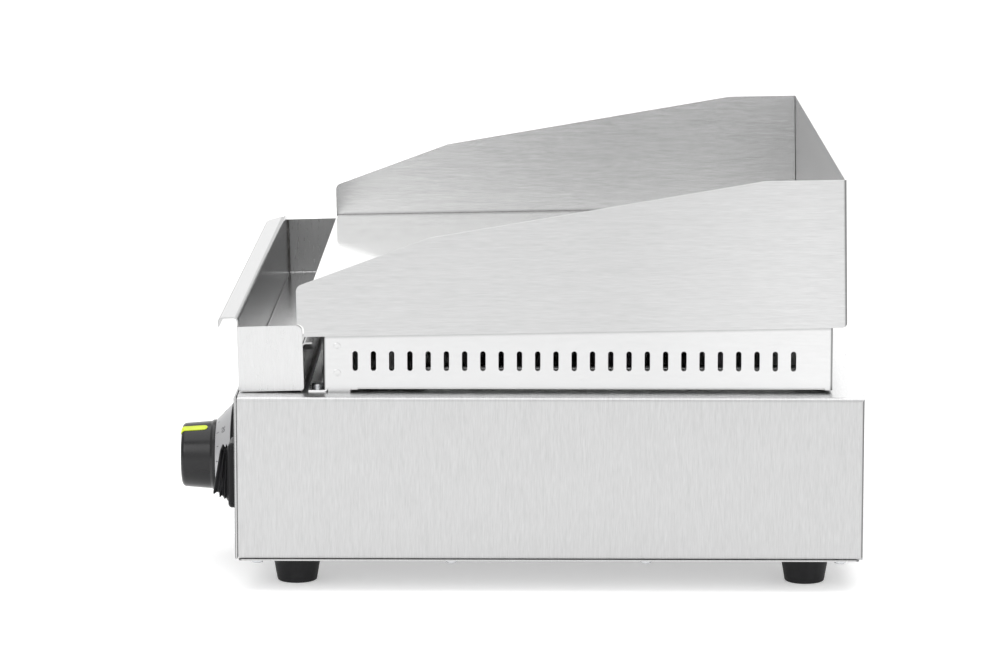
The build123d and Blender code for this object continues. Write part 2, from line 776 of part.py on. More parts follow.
def sensor(x, end_points, bend):
    """Sealed bulb under the plate with its capillary running on through the given points."""
    start = deck_point(x, bulb_front + 1.0, -bulb_drop)
    turn = deck_point(x, drop_back, -bulb_drop)
    route = [start, turn, Vector(turn.X, turn.Y, 100.0), *end_points]
    bulb_plane = Plane(deck_point(x, bulb_front, -bulb_drop), z_dir=deck_back)
    with BuildPart() as body:
        with BuildSketch(bulb_plane):
            Circle(bulb_radius)
        extrude(amount=bulb_rear - bulb_front)
        fillet(body.edges(), 1.0)
        add(tube(route, bend, capillary_radius))
    return body.part


bulb_offset = 9.0
sensor_bend = 9.0
sensor_gap = 0.8            # between a capillary's end and the body it serves
with BuildPart() as thermostat_bulb:
    thermostat_run = [
        Vector(knob_x - 12.0, -78.0, 92.0),
        Vector(knob_x - 12.0, thermostat_rear + sensor_gap, 78.0),
    ]
    add(sensor(bulb_offset, thermostat_run, sensor_bend))
thermostat_bulb.part.label = "thermostat_bulb"
export_step(thermostat_bulb.part, "parts/thermostat_bulb.step")

with BuildPart() as limiter_bulb:
    limiter_run = [
        Vector(limiter_x + 5.0, -60.0, 92.0),
        Vector(limiter_x + 5.0, limiter_front - sensor_gap, 74.0),
    ]
    add(sensor(-bulb_offset, limiter_run, sensor_bend))
limiter_bulb.part.label = "limiter_bulb"
export_step(limiter_bulb.part, "parts/limiter_bulb.step")

with BuildPart() as bulb_strap:
    with BuildSketch(deck.offset(-strap_drop)):
        with Locations(strap_at):
            RectangleRounded(*strap_size, 2.0)
            Circle(strap_stud_radius + thread_play, mode=Mode.SUBTRACT)
    extrude(amount=-strap_thick)
bulb_strap.part.label = "bulb_strap"
export_step(bulb_strap.part, "parts/bulb_strap.step")

with BuildPart() as strap_nut:
    strap_nut_place = Plane(deck_point(*strap_at, -strap_drop - strap_thick),
                            x_dir=(1, 0, 0), z_dir=-deck.z_dir)
    with Locations(strap_nut_place):
        add(hex_nut(*strap_nut_size, strap_stud_radius + thread_play))
strap_nut.part.label = "strap_nut"
export_step(strap_nut.part, "parts/strap_nut.step")

# ---------------------------------------------------------------- thermostat and knob
shaft_radius = 3.0
shaft_play = 0.05
shaft_inner = base_front + 8.0      # Y of the shaft's end inside the thermostat
thermostat_bracket = (46.0, 38.0, 3.0)      # width, height and thickness
thermostat_case = (40.0, 36.0)
shaft_well = 10.0                   # depths of the thermostat's holes from the panel's face
screw_well = 9.0
shaft_outer = base_front - 34.0     # Y of the shaft's end inside the knob
thermostat_screws_at = [
    (knob_x - thermostat_screw_offset, control_height),
    (knob_x + thermostat_screw_offset, control_height),
]
with BuildPart() as thermostat_body:
    with BuildSketch(upright(panel_back)):
        with Locations((knob_x, control_height)):
            RectangleRounded(*thermostat_bracket[:2], 3.0)
    extrude(amount=-thermostat_bracket[2])
    with BuildSketch(upright(panel_back)):
        with Locations((knob_x, control_height)):
            RectangleRounded(*thermostat_case, 2.0)
    extrude(amount=-thermostat_depth)
    with BuildSketch(upright(base_front)):
        with Locations((knob_x, control_height)):
            Circle(shaft_radius + shaft_play)
    extrude(amount=-shaft_well, mode=Mode.SUBTRACT)
    with BuildSketch(upright(base_front)):
        with Locations(*thermostat_screws_at):
            Circle(small_screw + thread_play)
    extrude(amount=-screw_well, mode=Mode.SUBTRACT)
thermostat_body.part.label = "thermostat_body"
export_step(thermostat_body.part, "parts/thermostat_body.step")

with BuildPart() as thermostat_screws:
    control_screw = pan_screw(small_screw, 6.0)
    with Locations(*[Location((x, base_front, z), (90, 0, 0)) for x, z in thermostat_screws_at]):
        add(control_screw)
thermostat_screws.part.label = "thermostat_screws"
export_step(thermostat_screws.part, "parts/thermostat_screws.step")

with BuildPart() as thermostat_shaft:
    with BuildSketch(upright(shaft_inner)):
        with Locations((knob_x, control_height)):
            Circle(shaft_radius)
    extrude(amount=shaft_inner - shaft_outer)
thermostat_shaft.part.label = "thermostat_shaft"
export_step(thermostat_shaft.part, "parts/thermostat_shaft.step")

# The dial ring and the knob are turned about the knob's axis. Their sections give the
# radius and the distance out from the front panel.
knob_axis = Axis((knob_x, base_front, control_height), (0, -1, 0))
turning_plane = Plane(origin=(knob_x, base_front, control_height),
                      x_dir=(1, 0, 0), z_dir=(0, 0, 1))
dial_inner = (23.2, 18.6)
dial_outer = (33.8, 8.2)
dial_thick = 1.5
dial_edge = 0.6
dial_skirt = (30.0, 31.5)           # inner and outer radius of the wall behind the face
dial_hub = 9.5
dial_fall = (dial_inner[1] - dial_outer[1]) / (dial_outer[0] - dial_inner[0])
dial_skirt_top = dial_fall * (dial_skirt[0] - dial_inner[0]) - dial_inner[1] + 1.5 * dial_thick
with BuildPart() as dial_ring:
    with BuildSketch(turning_plane):
        with BuildLine():
            Polyline(
                (shaft_hole, 0),
                (dial_hub, 0),
                (dial_hub, -dial_inner[1] + dial_thick),
                (dial_inner[0] - dial_thick / 2, -dial_inner[1] + dial_thick),
                (dial_skirt[0], dial_skirt_top),
                (dial_skirt[0], 0),
                (dial_skirt[1], 0),
                (dial_skirt[1], -dial_outer[1] + dial_edge),
                (dial_outer[0], -dial_outer[1] + dial_edge),
                (dial_outer[0], -dial_outer[1]),
                (dial_inner[0], -dial_inner[1]),
                (shaft_hole, -dial_inner[1]),
                close=True,
            )
        make_face()
    revolve(axis=knob_axis)
dial_ring.part.label = "dial_ring"
export_step(dial_ring.part, "parts/dial_ring.step")

knob_base = 19.0                    # distance of the knob's back face from the panel
knob_base_radius = 23.0
knob_front_radius = 20.6
knob_front_bend = 3.0
knob_rim = (1.6, 3.0, 0.9)          # the flare at the back: straight part, end and step
knob_groove = (4.7, 1.0)            # width and depth of the pointer's groove
pointer_angle = 26.0                # degrees from the top, clockwise as seen from the front
pointer_proud = 0.35
pointer_play = 0.1
pointer_inner = 17.8
pointer_length = 17.1
grub_radius = 1.9
grub_length = 8.0
grub_play = 0.1


def knob_section(grow):
    """Half section of the knob's outside, grown outward by the given amount."""
    with BuildSketch(turning_plane) as section:
        with BuildLine():
            Polyline(
                (0, -knob_base),
                (knob_base_radius + grow, -knob_base),
                (knob_base_radius + grow, -knob_base - knob_rim[0]),
                (knob_base_radius - knob_rim[2] + grow, -knob_base - knob_rim[1]),
                (knob_front_radius + grow, -knob_reach - grow),
                (0, -knob_reach - grow),
                close=True,
            )
        make_face()
        outer = section.vertices().group_by(Axis.Y)[0].sort_by(Axis.X)[-1]
        fillet(outer, knob_front_bend)
    with BuildPart() as solid:
        add(section.sketch)
        revolve(axis=knob_axis)
    return solid.part


def pointer_block(width, inner, rear):
    """Block on the pointer's line from radius inner outward; its rear end is rounded."""
    place = Plane(
        origin=(knob_x, base_front, control_height),
        x_dir=(0, -1, 0),
        z_dir=(sin(radians(pointer_angle)), 0, cos(radians(pointer_angle))),
    )
    with BuildPart() as block:
        with BuildSketch(place.offset(inner)):
            with Locations((rear + width / 2, 0)):
                Circle(width / 2)
                Rectangle(knob_reach, width, align=(Align.MIN, Align.CENTER))
        extrude(amount=2 * knob_base_radius)
    return block.part


knob_body = knob_section(0.0)
pointer_back = knob_reach - pointer_length
groove_cut = pointer_block(knob_groove[0], pointer_inner, pointer_back)
knob_core = knob_section(-knob_groove[1])
knob_hollow = 2.0                   # the knob's bore starts this far behind its back face
grub_y = base_front - knob_base - 4.5
grub_foot = knob_x - shaft_radius - grub_play
with BuildPart() as knob:
    add(knob_body)
    add(groove_cut, mode=Mode.SUBTRACT)
    add(knob_core)
    with BuildSketch(upright(base_front - knob_base + knob_hollow)):
        with Locations((knob_x, control_height)):
            Circle(shaft_radius + shaft_play)
    extrude(amount=base_front - knob_base + knob_hollow - shaft_outer + 0.5, mode=Mode.SUBTRACT)
    with BuildSketch(Plane.YZ.offset(knob_x - shaft_radius / 2)):
        with Locations((grub_y, control_height)):
            Circle(grub_radius + grub_play)
    extrude(amount=-knob_base_radius, mode=Mode.SUBTRACT)
knob.part.label = "knob"
export_step(knob.part, "parts/knob.step")

with BuildPart() as knob_pointer:
    add(knob_section(pointer_proud))
    add(pointer_block(knob_groove[0] - pointer_play, pointer_inner + pointer_play,
                      pointer_back + pointer_play / 2), mode=Mode.INTERSECT)
    add(knob_section(-knob_groove[1] + 0.02), mode=Mode.SUBTRACT)
knob_pointer.part.label = "knob_pointer"
export_step(knob_pointer.part, "parts/knob_pointer.step")

with BuildPart() as knob_grub_screw:
    with BuildSketch(Plane.YZ.offset(grub_foot)):
        with Locations((grub_y, control_height)):
            Circle(grub_radius)
    extrude(amount=-grub_length)
    with BuildSketch(Plane.YZ.offset(grub_foot - grub_length)):
        with Locations((grub_y, control_height)):
            RegularPolygon(grub_radius / 2, 6)
    extrude(amount=grub_length / 3, mode=Mode.SUBTRACT)
knob_grub_screw.part.label = "knob_grub_screw"
export_step(knob_grub_screw.part, "parts/knob_grub_screw.step")

# ---------------------------------------------------------------- on/off switch
frame_depth = 6.4
frame_outer = (30.0, 42.0)
frame_opening = (19.0, 30.0)
hinge_out = 2.0                     # hinge line, out from the panel
hinge_y = base_front - hinge_out
rocker_lean = 9.7                   # degrees, the lower end stands out in the off position
rocker_size = (14.0, 23.0)
rocker_face = 7.0
rocker_back = 1.6                   # how far the rocker reaches behind its hinge line
pin_radius = 1.0
pin_length = 25.6
pin_hole_length = 26.0
switch_case = (21.4, 30.4)
switch_case_front = 4.0             # depths of the switch's case behind the panel's face
switch_case_rear = 30.0
switch_tab = (6.3, 0.8)
switch_tab_length = 9.0
rocker_plane = Plane(
    origin=(switch_x, hinge_y, control_height),
    x_dir=(1, 0, 0),
    z_dir=(0, -cos(radians(rocker_lean)), sin(radians(rocker_lean))),
)
with BuildPart() as switch_frame:
    with BuildSketch(upright(base_front)):
        with Locations((switch_x, control_height)):
            RectangleRounded(*frame_outer, 5.0)
    extrude(amount=frame_depth)
    fillet(switch_frame.edges().group_by(Axis.Y)[0], 2.4)
    with BuildSketch(upright(base_front)):
        with Locations((switch_x, control_height)):
            Rectangle(*frame_opening)
    extrude(amount=frame_depth, mode=Mode.SUBTRACT)
    with BuildSketch(Plane.YZ.offset(switch_x - pin_hole_length / 2)):
        with Locations((hinge_y, control_height)):
            Circle(pin_radius + shaft_play)
    extrude(amount=pin_hole_length, mode=Mode.SUBTRACT)
switch_frame.part.label = "switch_frame"
export_step(switch_frame.part, "parts/switch_frame.step")

with BuildPart() as switch_body:
    with BuildSketch(upright(base_front + switch_case_front)):
        with Locations((switch_x, control_height)):
            RectangleRounded(*switch_case, 1.5)
    extrude(amount=switch_case_front - switch_case_rear)
switch_body.part.label = "switch_body"
export_step(switch_body.part, "parts/switch_body.step")

with BuildPart() as switch_tabs:
    with BuildSketch(upright(base_front + switch_case_rear)):
        with Locations((switch_x, control_height)):
            with GridLocations(10.0, 14.0, 2, 2):
                Rectangle(*switch_tab)
    extrude(amount=-switch_tab_length)
switch_tabs.part.label = "switch_tabs"
export_step(switch_tabs.part, "parts/switch_tabs.step")

with BuildPart() as switch_rocker:
    with BuildSketch(rocker_plane.offset(-rocker_back)):
        RectangleRounded(*rocker_size, 1.5)
    extrude(amount=rocker_face + rocker_back)
    with BuildSketch(Plane.YZ.offset(switch_x - frame_opening[0])):
        with Locations((hinge_y, control_height)):
            Circle(pin_radius + shaft_play)
    extrude(amount=2 * frame_opening[0], mode=Mode.SUBTRACT)
switch_rocker.part.label = "switch_rocker"
export_step(switch_rocker.part, "parts/switch_rocker.step")

with BuildPart() as switch_pin:
    with BuildSketch(Plane.YZ.offset(switch_x - pin_length / 2)):
        with Locations((hinge_y, control_height)):
            Circle(pin_radius)
    extrude(amount=pin_length)
switch_pin.part.label = "switch_pin"
export_step(switch_pin.part, "parts/switch_pin.step")

boot_root = (25.0, 34.5)
boot_mouth = (18.0, 28.0)
boot_seat_thick = 0.8
boot_face = (20.5, 30.4)
boot_neck = (12.0, 20.0)
boot_cap_from = 8.3                 # cap's back and front, out from the hinge line
boot_cap_to = 11.7
with BuildPart() as boot_seat:
    with BuildSketch(upright(base_front - frame_depth)):
        with Locations((switch_x, control_height)):
            RectangleRounded(*boot_root, 4.0)
            RectangleRounded(*boot_mouth, 2.0, mode=Mode.SUBTRACT)
    extrude(amount=boot_seat_thick)
boot_seat.part.label = "boot_seat"
export_step(boot_seat.part, "parts/boot_seat.step")

with BuildPart() as boot_cap:
    with BuildSketch(rocker_plane.offset(rocker_face)):
        RectangleRounded(*boot_neck, 2.0)
    extrude(amount=boot_cap_from - rocker_face)
    with BuildSketch(rocker_plane.offset(boot_cap_from)):
        RectangleRounded(*boot_face, 4.0)
    extrude(amount=boot_cap_to - boot_cap_from)
boot_cap.part.label = "boot_cap"
export_step(boot_cap.part, "parts/boot_cap.step")

# ---------------------------------------------------------------- pilot lamps
lamp_places = [(x, control_height) for x in lamps_x]
lamp_dome = 3.6
lamp_rim = 1.1
lamp_body_length = 24.0


def lamp_lens(x):
    """Domed lens with a flange in front of the panel."""
    with BuildPart() as lens:
        with BuildSketch(upright(base_front)):
            with Locations((x, control_height)):
                Circle(lamp_radius)
        extrude(amount=lamp_dome)
        fillet(lens.edges().sort_by(Axis.Y)[0], 2.4)
        with BuildSketch(upright(base_front)):
            with Locations((x, control_height)):
                Circle(lamp_radius + 1.4)
        extrude(amount=lamp_rim)
    return lens.part


with BuildPart() as power_lamp:
    add(lamp_lens(lamps_x[0]))
power_lamp.part.label = "power_lamp"
export_step(power_lamp.part, "parts/power_lamp.step")

with BuildPart() as heating_lamp:
    add(lamp_lens(lamps_x[1]))
heating_lamp.part.label = "heating_lamp"
export_step(heating_lamp.part, "parts/heating_lamp.step")

with BuildPart() as lamp_bodies:
    with BuildSketch(upright(base_front)):
        with Locations(*lamp_places):
            Circle(lamp_radius)
    extrude(amount=-lamp_body_length)
lamp_bodies.part.label = "lamp_bodies"
export_step(lamp_bodies.part, "parts/lamp_bodies.step")

with BuildPart() as lamp_nuts:
    lamp_nut = hex_nut(12.0, 2.5, lamp_radius + thread_play)
    with Locations(*[Location((x, panel_back, z), (-90, 0, 0)) for x, z in lamp_places]):
        add(lamp_nut)
lamp_nuts.part.label = "lamp_nuts"
export_step(lamp_nuts.part, "parts/lamp_nuts.step")

# ---------------------------------------------------------------- overheat cut-out, rear
button_radius = 1.8
button_proud = 3.0
limiter_nut_height = 4.0
limiter_radius = 14.0
bushing_proud = 0.8                 # the cut-out's bushing stands this far past its nut
button_well = 10.0                  # the bore for the button starts this deep in the body
button_foot = 14.0
limiter_places = Location((limiter_x, base_rear - sheet, control_height), (-90, 0, 0))
with BuildPart() as limiter_body:
    with BuildSketch(upright(limiter_front)):
        with Locations((limiter_x, control_height)):
            Circle(limiter_radius)
    extrude(amount=limiter_front - rear_panel_front)
    with BuildSketch(upright(rear_panel_front)):
        with Locations((limiter_x, control_height)):
            Circle(limiter_thread)
    extrude(amount=-2 * sheet - limiter_nut_height - bushing_proud)
    with BuildSketch(upright(limiter_front + button_well)):
        with Locations((limiter_x, control_height)):
            Circle(button_radius + shaft_play)
    extrude(amount=-base_rear + limiter_front, mode=Mode.SUBTRACT)
limiter_body.part.label = "limiter_body"
export_step(limiter_body.part, "parts/limiter_body.step")

with BuildPart() as limiter_nut:
    with Locations(limiter_places):
        add(hex_nut(12.0, limiter_nut_height, limiter_thread + thread_play))
limiter_nut.part.label = "limiter_nut"
export_step(limiter_nut.part, "parts/limiter_nut.step")

button_end = base_rear + limiter_nut_height + bushing_proud + button_proud
with BuildPart() as reset_button:
    with BuildSketch(upright(limiter_front + button_foot)):
        with Locations((limiter_x, control_height)):
            Circle(button_radius)
    extrude(amount=limiter_front + button_foot - button_end)
    fillet(reset_button.edges().sort_by(Axis.Y)[-1], 0.8)
reset_button.part.label = "reset_button"
export_step(reset_button.part, "parts/reset_button.step")

# ---------------------------------------------------------------- mains entry, rear
gland_bore = 4.3
gland_flange = 5.0
gland_flats = 22.0                  # across the body's hexagon and the nut's
gland_cap_flats = 20.8
gland_nut_height = 5.0
gland_places = Plane(origin=(gland_x, base_rear - sheet, gland_z), x_dir=(-1, 0, 0),
                     z_dir=(0, 1, 0))
gland_inside = 12.0
with BuildPart() as gland_body:
    with BuildSketch(gland_places.offset(-gland_inside)):
        Circle(gland_thread)
    extrude(amount=gland_inside + gland_flange)
    with BuildSketch(gland_places):
        RegularPolygon(gland_flats / 2, 6, major_radius=False)
    extrude(amount=gland_flange)
    with BuildSketch(gland_places.offset(-gland_inside)):
        Circle(gland_bore)
    extrude(amount=gland_inside + gland_flange, mode=Mode.SUBTRACT)
gland_body.part.label = "gland_body"
export_step(gland_body.part, "parts/gland_body.step")

with BuildPart() as gland_cap:
    with BuildSketch(gland_places.offset(gland_flange)):
        RegularPolygon(gland_cap_flats / 2, 6, major_radius=False)
    extrude(amount=gland_reach + sheet - gland_flange)
    with BuildSketch(gland_places.offset(gland_flange)):
        Circle(gland_cap_flats * 0.6)
    extrude(amount=gland_reach + sheet - gland_flange, taper=16, mode=Mode.INTERSECT)
    with BuildSketch(gland_places.offset(gland_flange)):
        Circle(gland_bore)
    extrude(amount=gland_reach + sheet, mode=Mode.SUBTRACT)
gland_cap.part.label = "gland_cap"
export_step(gland_cap.part, "parts/gland_cap.step")

with BuildPart() as gland_nut:
    with Locations(Location((gland_x, rear_panel_front, gland_z), (90, 0, 0))):
        add(hex_nut(gland_flats, gland_nut_height, gland_thread + thread_play))
gland_nut.part.label = "gland_nut"
export_step(gland_nut.part, "parts/gland_nut.step")

block_x = 110.0
block_y = 160.0
block_size = (46.0, 20.0, 18.0)
block_poles = 4
well_radius = 2.6
well_screw_radius = 2.4
well_screw_foot = 6.0               # height of the clamp screws' lower ends in the block
well_screw_drop = 2.0               # depth of their heads under the block's top
with BuildPart() as terminal_block:
    with BuildSketch(Plane.XY.offset(base_bottom)):
        with Locations((block_x, block_y)):
            RectangleRounded(block_size[0], block_size[1], 2.0)
            with GridLocations(block_size[0] / block_poles, 0, block_poles, 1):
                Circle(well_radius, mode=Mode.SUBTRACT)
    extrude(amount=block_size[2])
terminal_block.part.label = "terminal_block"
export_step(terminal_block.part, "parts/terminal_block.step")

with BuildPart() as terminal_screws:
    with BuildSketch(Plane.XY.offset(base_bottom + well_screw_foot)):
        with Locations((block_x, block_y)):
            with GridLocations(block_size[0] / block_poles, 0, block_poles, 1):
                Circle(well_screw_radius)
    extrude(amount=block_size[2] - well_screw_foot - well_screw_drop)
    with BuildSketch(Plane.XY.offset(base_bottom + block_size[2] - well_screw_drop)):
        with Locations((block_x, block_y)):
            with GridLocations(block_size[0] / block_poles, 0, block_poles, 1):
                Rectangle(3.8, 0.9)
    extrude(amount=-1.2, mode=Mode.SUBTRACT)
terminal_screws.part.label = "terminal_screws"
export_step(terminal_screws.part, "parts/terminal_screws.step")

earth_stud_inside = 10.0
earth_stud_length = 24.0
with BuildPart() as earth_stud:
    with BuildSketch(upright(rear_panel_front - earth_stud_inside)):
        with Locations((earth_x, earth_z)):
            Circle(earth_radius)
    extrude(amount=-earth_stud_length)
earth_stud.part.label = "earth_stud"
export_step(earth_stud.part, "parts/earth_stud.step")

with BuildPart() as earth_nuts:
    earth_nut = hex_nut(*m6_nut, earth_radius + thread_play)
    with Locations(Location((earth_x, base_rear - sheet, earth_z), (-90, 0, 0)),
                   Location((earth_x, rear_panel_front, earth_z), (90, 0, 0))):
        add(earth_nut)
earth_nuts.part.label = "earth_nuts"
export_step(earth_nuts.part, "parts/earth_nuts.step")

# ---------------------------------------------------------------- inner wiring
wire_radius = 1.5
wire_bend = 8.0
wire_end_gap = 0.2                  # between a wire's end and the piece it serves
pole_height = 8.0
switch_tab_end = base_front + switch_case_rear + switch_tab_length + 1.0
pole_pitch = block_size[0] / block_poles


def pole(index):
    """Centre of a terminal's mouth on the block's front side."""
    return Vector(block_x + (index - (block_poles - 1) / 2) * pole_pitch,
                  block_y - block_size[1] / 2, base_bottom + pole_height)


def wire(points, bend):
    """One insulated wire of the harness."""
    return tube(points, bend, wire_radius)


with BuildPart() as supply_wires:
    line = pole(3)
    add(wire([line, line + Vector(0, -40, 0), Vector(248, 60, 40), Vector(248, -90, 60),
              Vector(switch_x + 5.0, -118, control_height + 7.0),
              Vector(switch_x + 5.0, switch_tab_end, control_height + 7.0)], wire_bend))
    neutral = pole(2)
    add(wire([neutral, neutral + Vector(0, -70, 0), Vector(226, 20, 34), Vector(214, -90, 56),
              Vector(switch_x - 5.0, -116, control_height - 7.0),
              Vector(switch_x - 5.0, switch_tab_end, control_height - 7.0)], wire_bend))
supply_wires.part.label = "supply_wires"
export_step(supply_wires.part, "parts/supply_wires.step")

with BuildPart() as earth_wire:
    earth = pole(0)
    add(wire([earth, earth + Vector(0, -22, 0), Vector(earth_x + 10.0, 110, 36),
              Vector(earth_x - 8.0, 150, 44), Vector(earth_x, 178, earth_z),
              Vector(earth_x, rear_panel_front - earth_stud_inside - wire_end_gap, earth_z)],
             0.75 * wire_bend))
earth_wire.part.label = "earth_wire"
export_step(earth_wire.part, "parts/earth_wire.step")

with BuildPart() as heater_wires:
    for index, (x, y) in enumerate(terminal_places[2:]):
        start = Vector(x, y, element_leg_bottom - terminal_pin[1] - wire_end_gap)
        add(wire([start, start + Vector(0, 0, -14.0 - 6 * index),
                  Vector(90.0, -60.0 - 16 * index, 58.0 + 8 * index),
                  Vector(140.0, -110.0 - 6 * index, 60.0 + 10 * index),
                  Vector(knob_x - 6.0 + 8 * index, -125.0, 60.0 + 10 * index),
                  Vector(knob_x - 6.0 + 8 * index, thermostat_rear + wire_end_gap,
                         60.0 + 10 * index)],
                 0.75 * wire_bend))
heater_wires.part.label = "heater_wires"
export_step(heater_wires.part, "parts/heater_wires.step")
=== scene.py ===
import json
from math import cos, pi, radians, sin

import bmesh
import bpy
from mathutils import Euler, Matrix, Vector

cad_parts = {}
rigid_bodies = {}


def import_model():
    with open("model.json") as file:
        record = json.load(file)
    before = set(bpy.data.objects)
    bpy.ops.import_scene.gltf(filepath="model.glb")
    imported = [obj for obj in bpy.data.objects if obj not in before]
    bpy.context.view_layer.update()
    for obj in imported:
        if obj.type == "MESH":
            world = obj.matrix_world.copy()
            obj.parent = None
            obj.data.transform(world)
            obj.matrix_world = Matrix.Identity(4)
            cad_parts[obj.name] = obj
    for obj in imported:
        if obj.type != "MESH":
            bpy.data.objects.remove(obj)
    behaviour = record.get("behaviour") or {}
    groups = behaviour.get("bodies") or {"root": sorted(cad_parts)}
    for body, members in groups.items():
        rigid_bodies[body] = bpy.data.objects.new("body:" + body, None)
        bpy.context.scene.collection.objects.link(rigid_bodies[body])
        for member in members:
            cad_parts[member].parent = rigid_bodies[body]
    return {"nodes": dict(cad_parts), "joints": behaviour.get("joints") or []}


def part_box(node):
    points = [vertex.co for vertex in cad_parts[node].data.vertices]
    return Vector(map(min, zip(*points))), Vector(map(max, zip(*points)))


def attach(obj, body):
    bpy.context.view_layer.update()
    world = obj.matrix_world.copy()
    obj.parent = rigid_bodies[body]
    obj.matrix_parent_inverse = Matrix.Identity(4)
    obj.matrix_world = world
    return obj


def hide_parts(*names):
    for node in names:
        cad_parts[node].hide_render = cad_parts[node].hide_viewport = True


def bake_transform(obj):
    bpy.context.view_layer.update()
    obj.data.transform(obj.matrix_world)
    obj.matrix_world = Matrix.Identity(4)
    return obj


for extra in list(bpy.data.objects):
    bpy.data.objects.remove(extra)
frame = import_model()
bpy.context.view_layer.update()

# The looks of a counter-top griddle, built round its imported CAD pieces.
# +X is the side with the controls' right end, -Y the front, +Z up. Lengths are in metres.
MM = 0.001


def middle(node):
    """Centre of a CAD node's box."""
    low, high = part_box(node)
    return (low + high) / 2


# ---------------------------------------------------------------- node helpers
def parts_of(tree, vector):
    """The X, Y and Z outputs of a vector."""
    apart = tree.nodes.new("ShaderNodeSeparateXYZ")
    tree.links.new(vector, apart.inputs["Vector"])
    return apart.outputs


def size_of(tree, source):
    """A value without its sign."""
    node = tree.nodes.new("ShaderNodeMath")
    node.operation = "ABSOLUTE"
    tree.links.new(source, node.inputs[0])
    return node.outputs["Value"]


def spread(tree, source, low, high, from_low, from_high):
    """A value's range from_low..from_high turned into low..high, held at both ends."""
    node = tree.nodes.new("ShaderNodeMapRange")
    node.inputs["From Min"].default_value = from_low
    node.inputs["From Max"].default_value = from_high
    node.inputs["To Min"].default_value = low
    node.inputs["To Max"].default_value = high
    tree.links.new(source, node.inputs["Value"])
    return node.outputs["Result"]


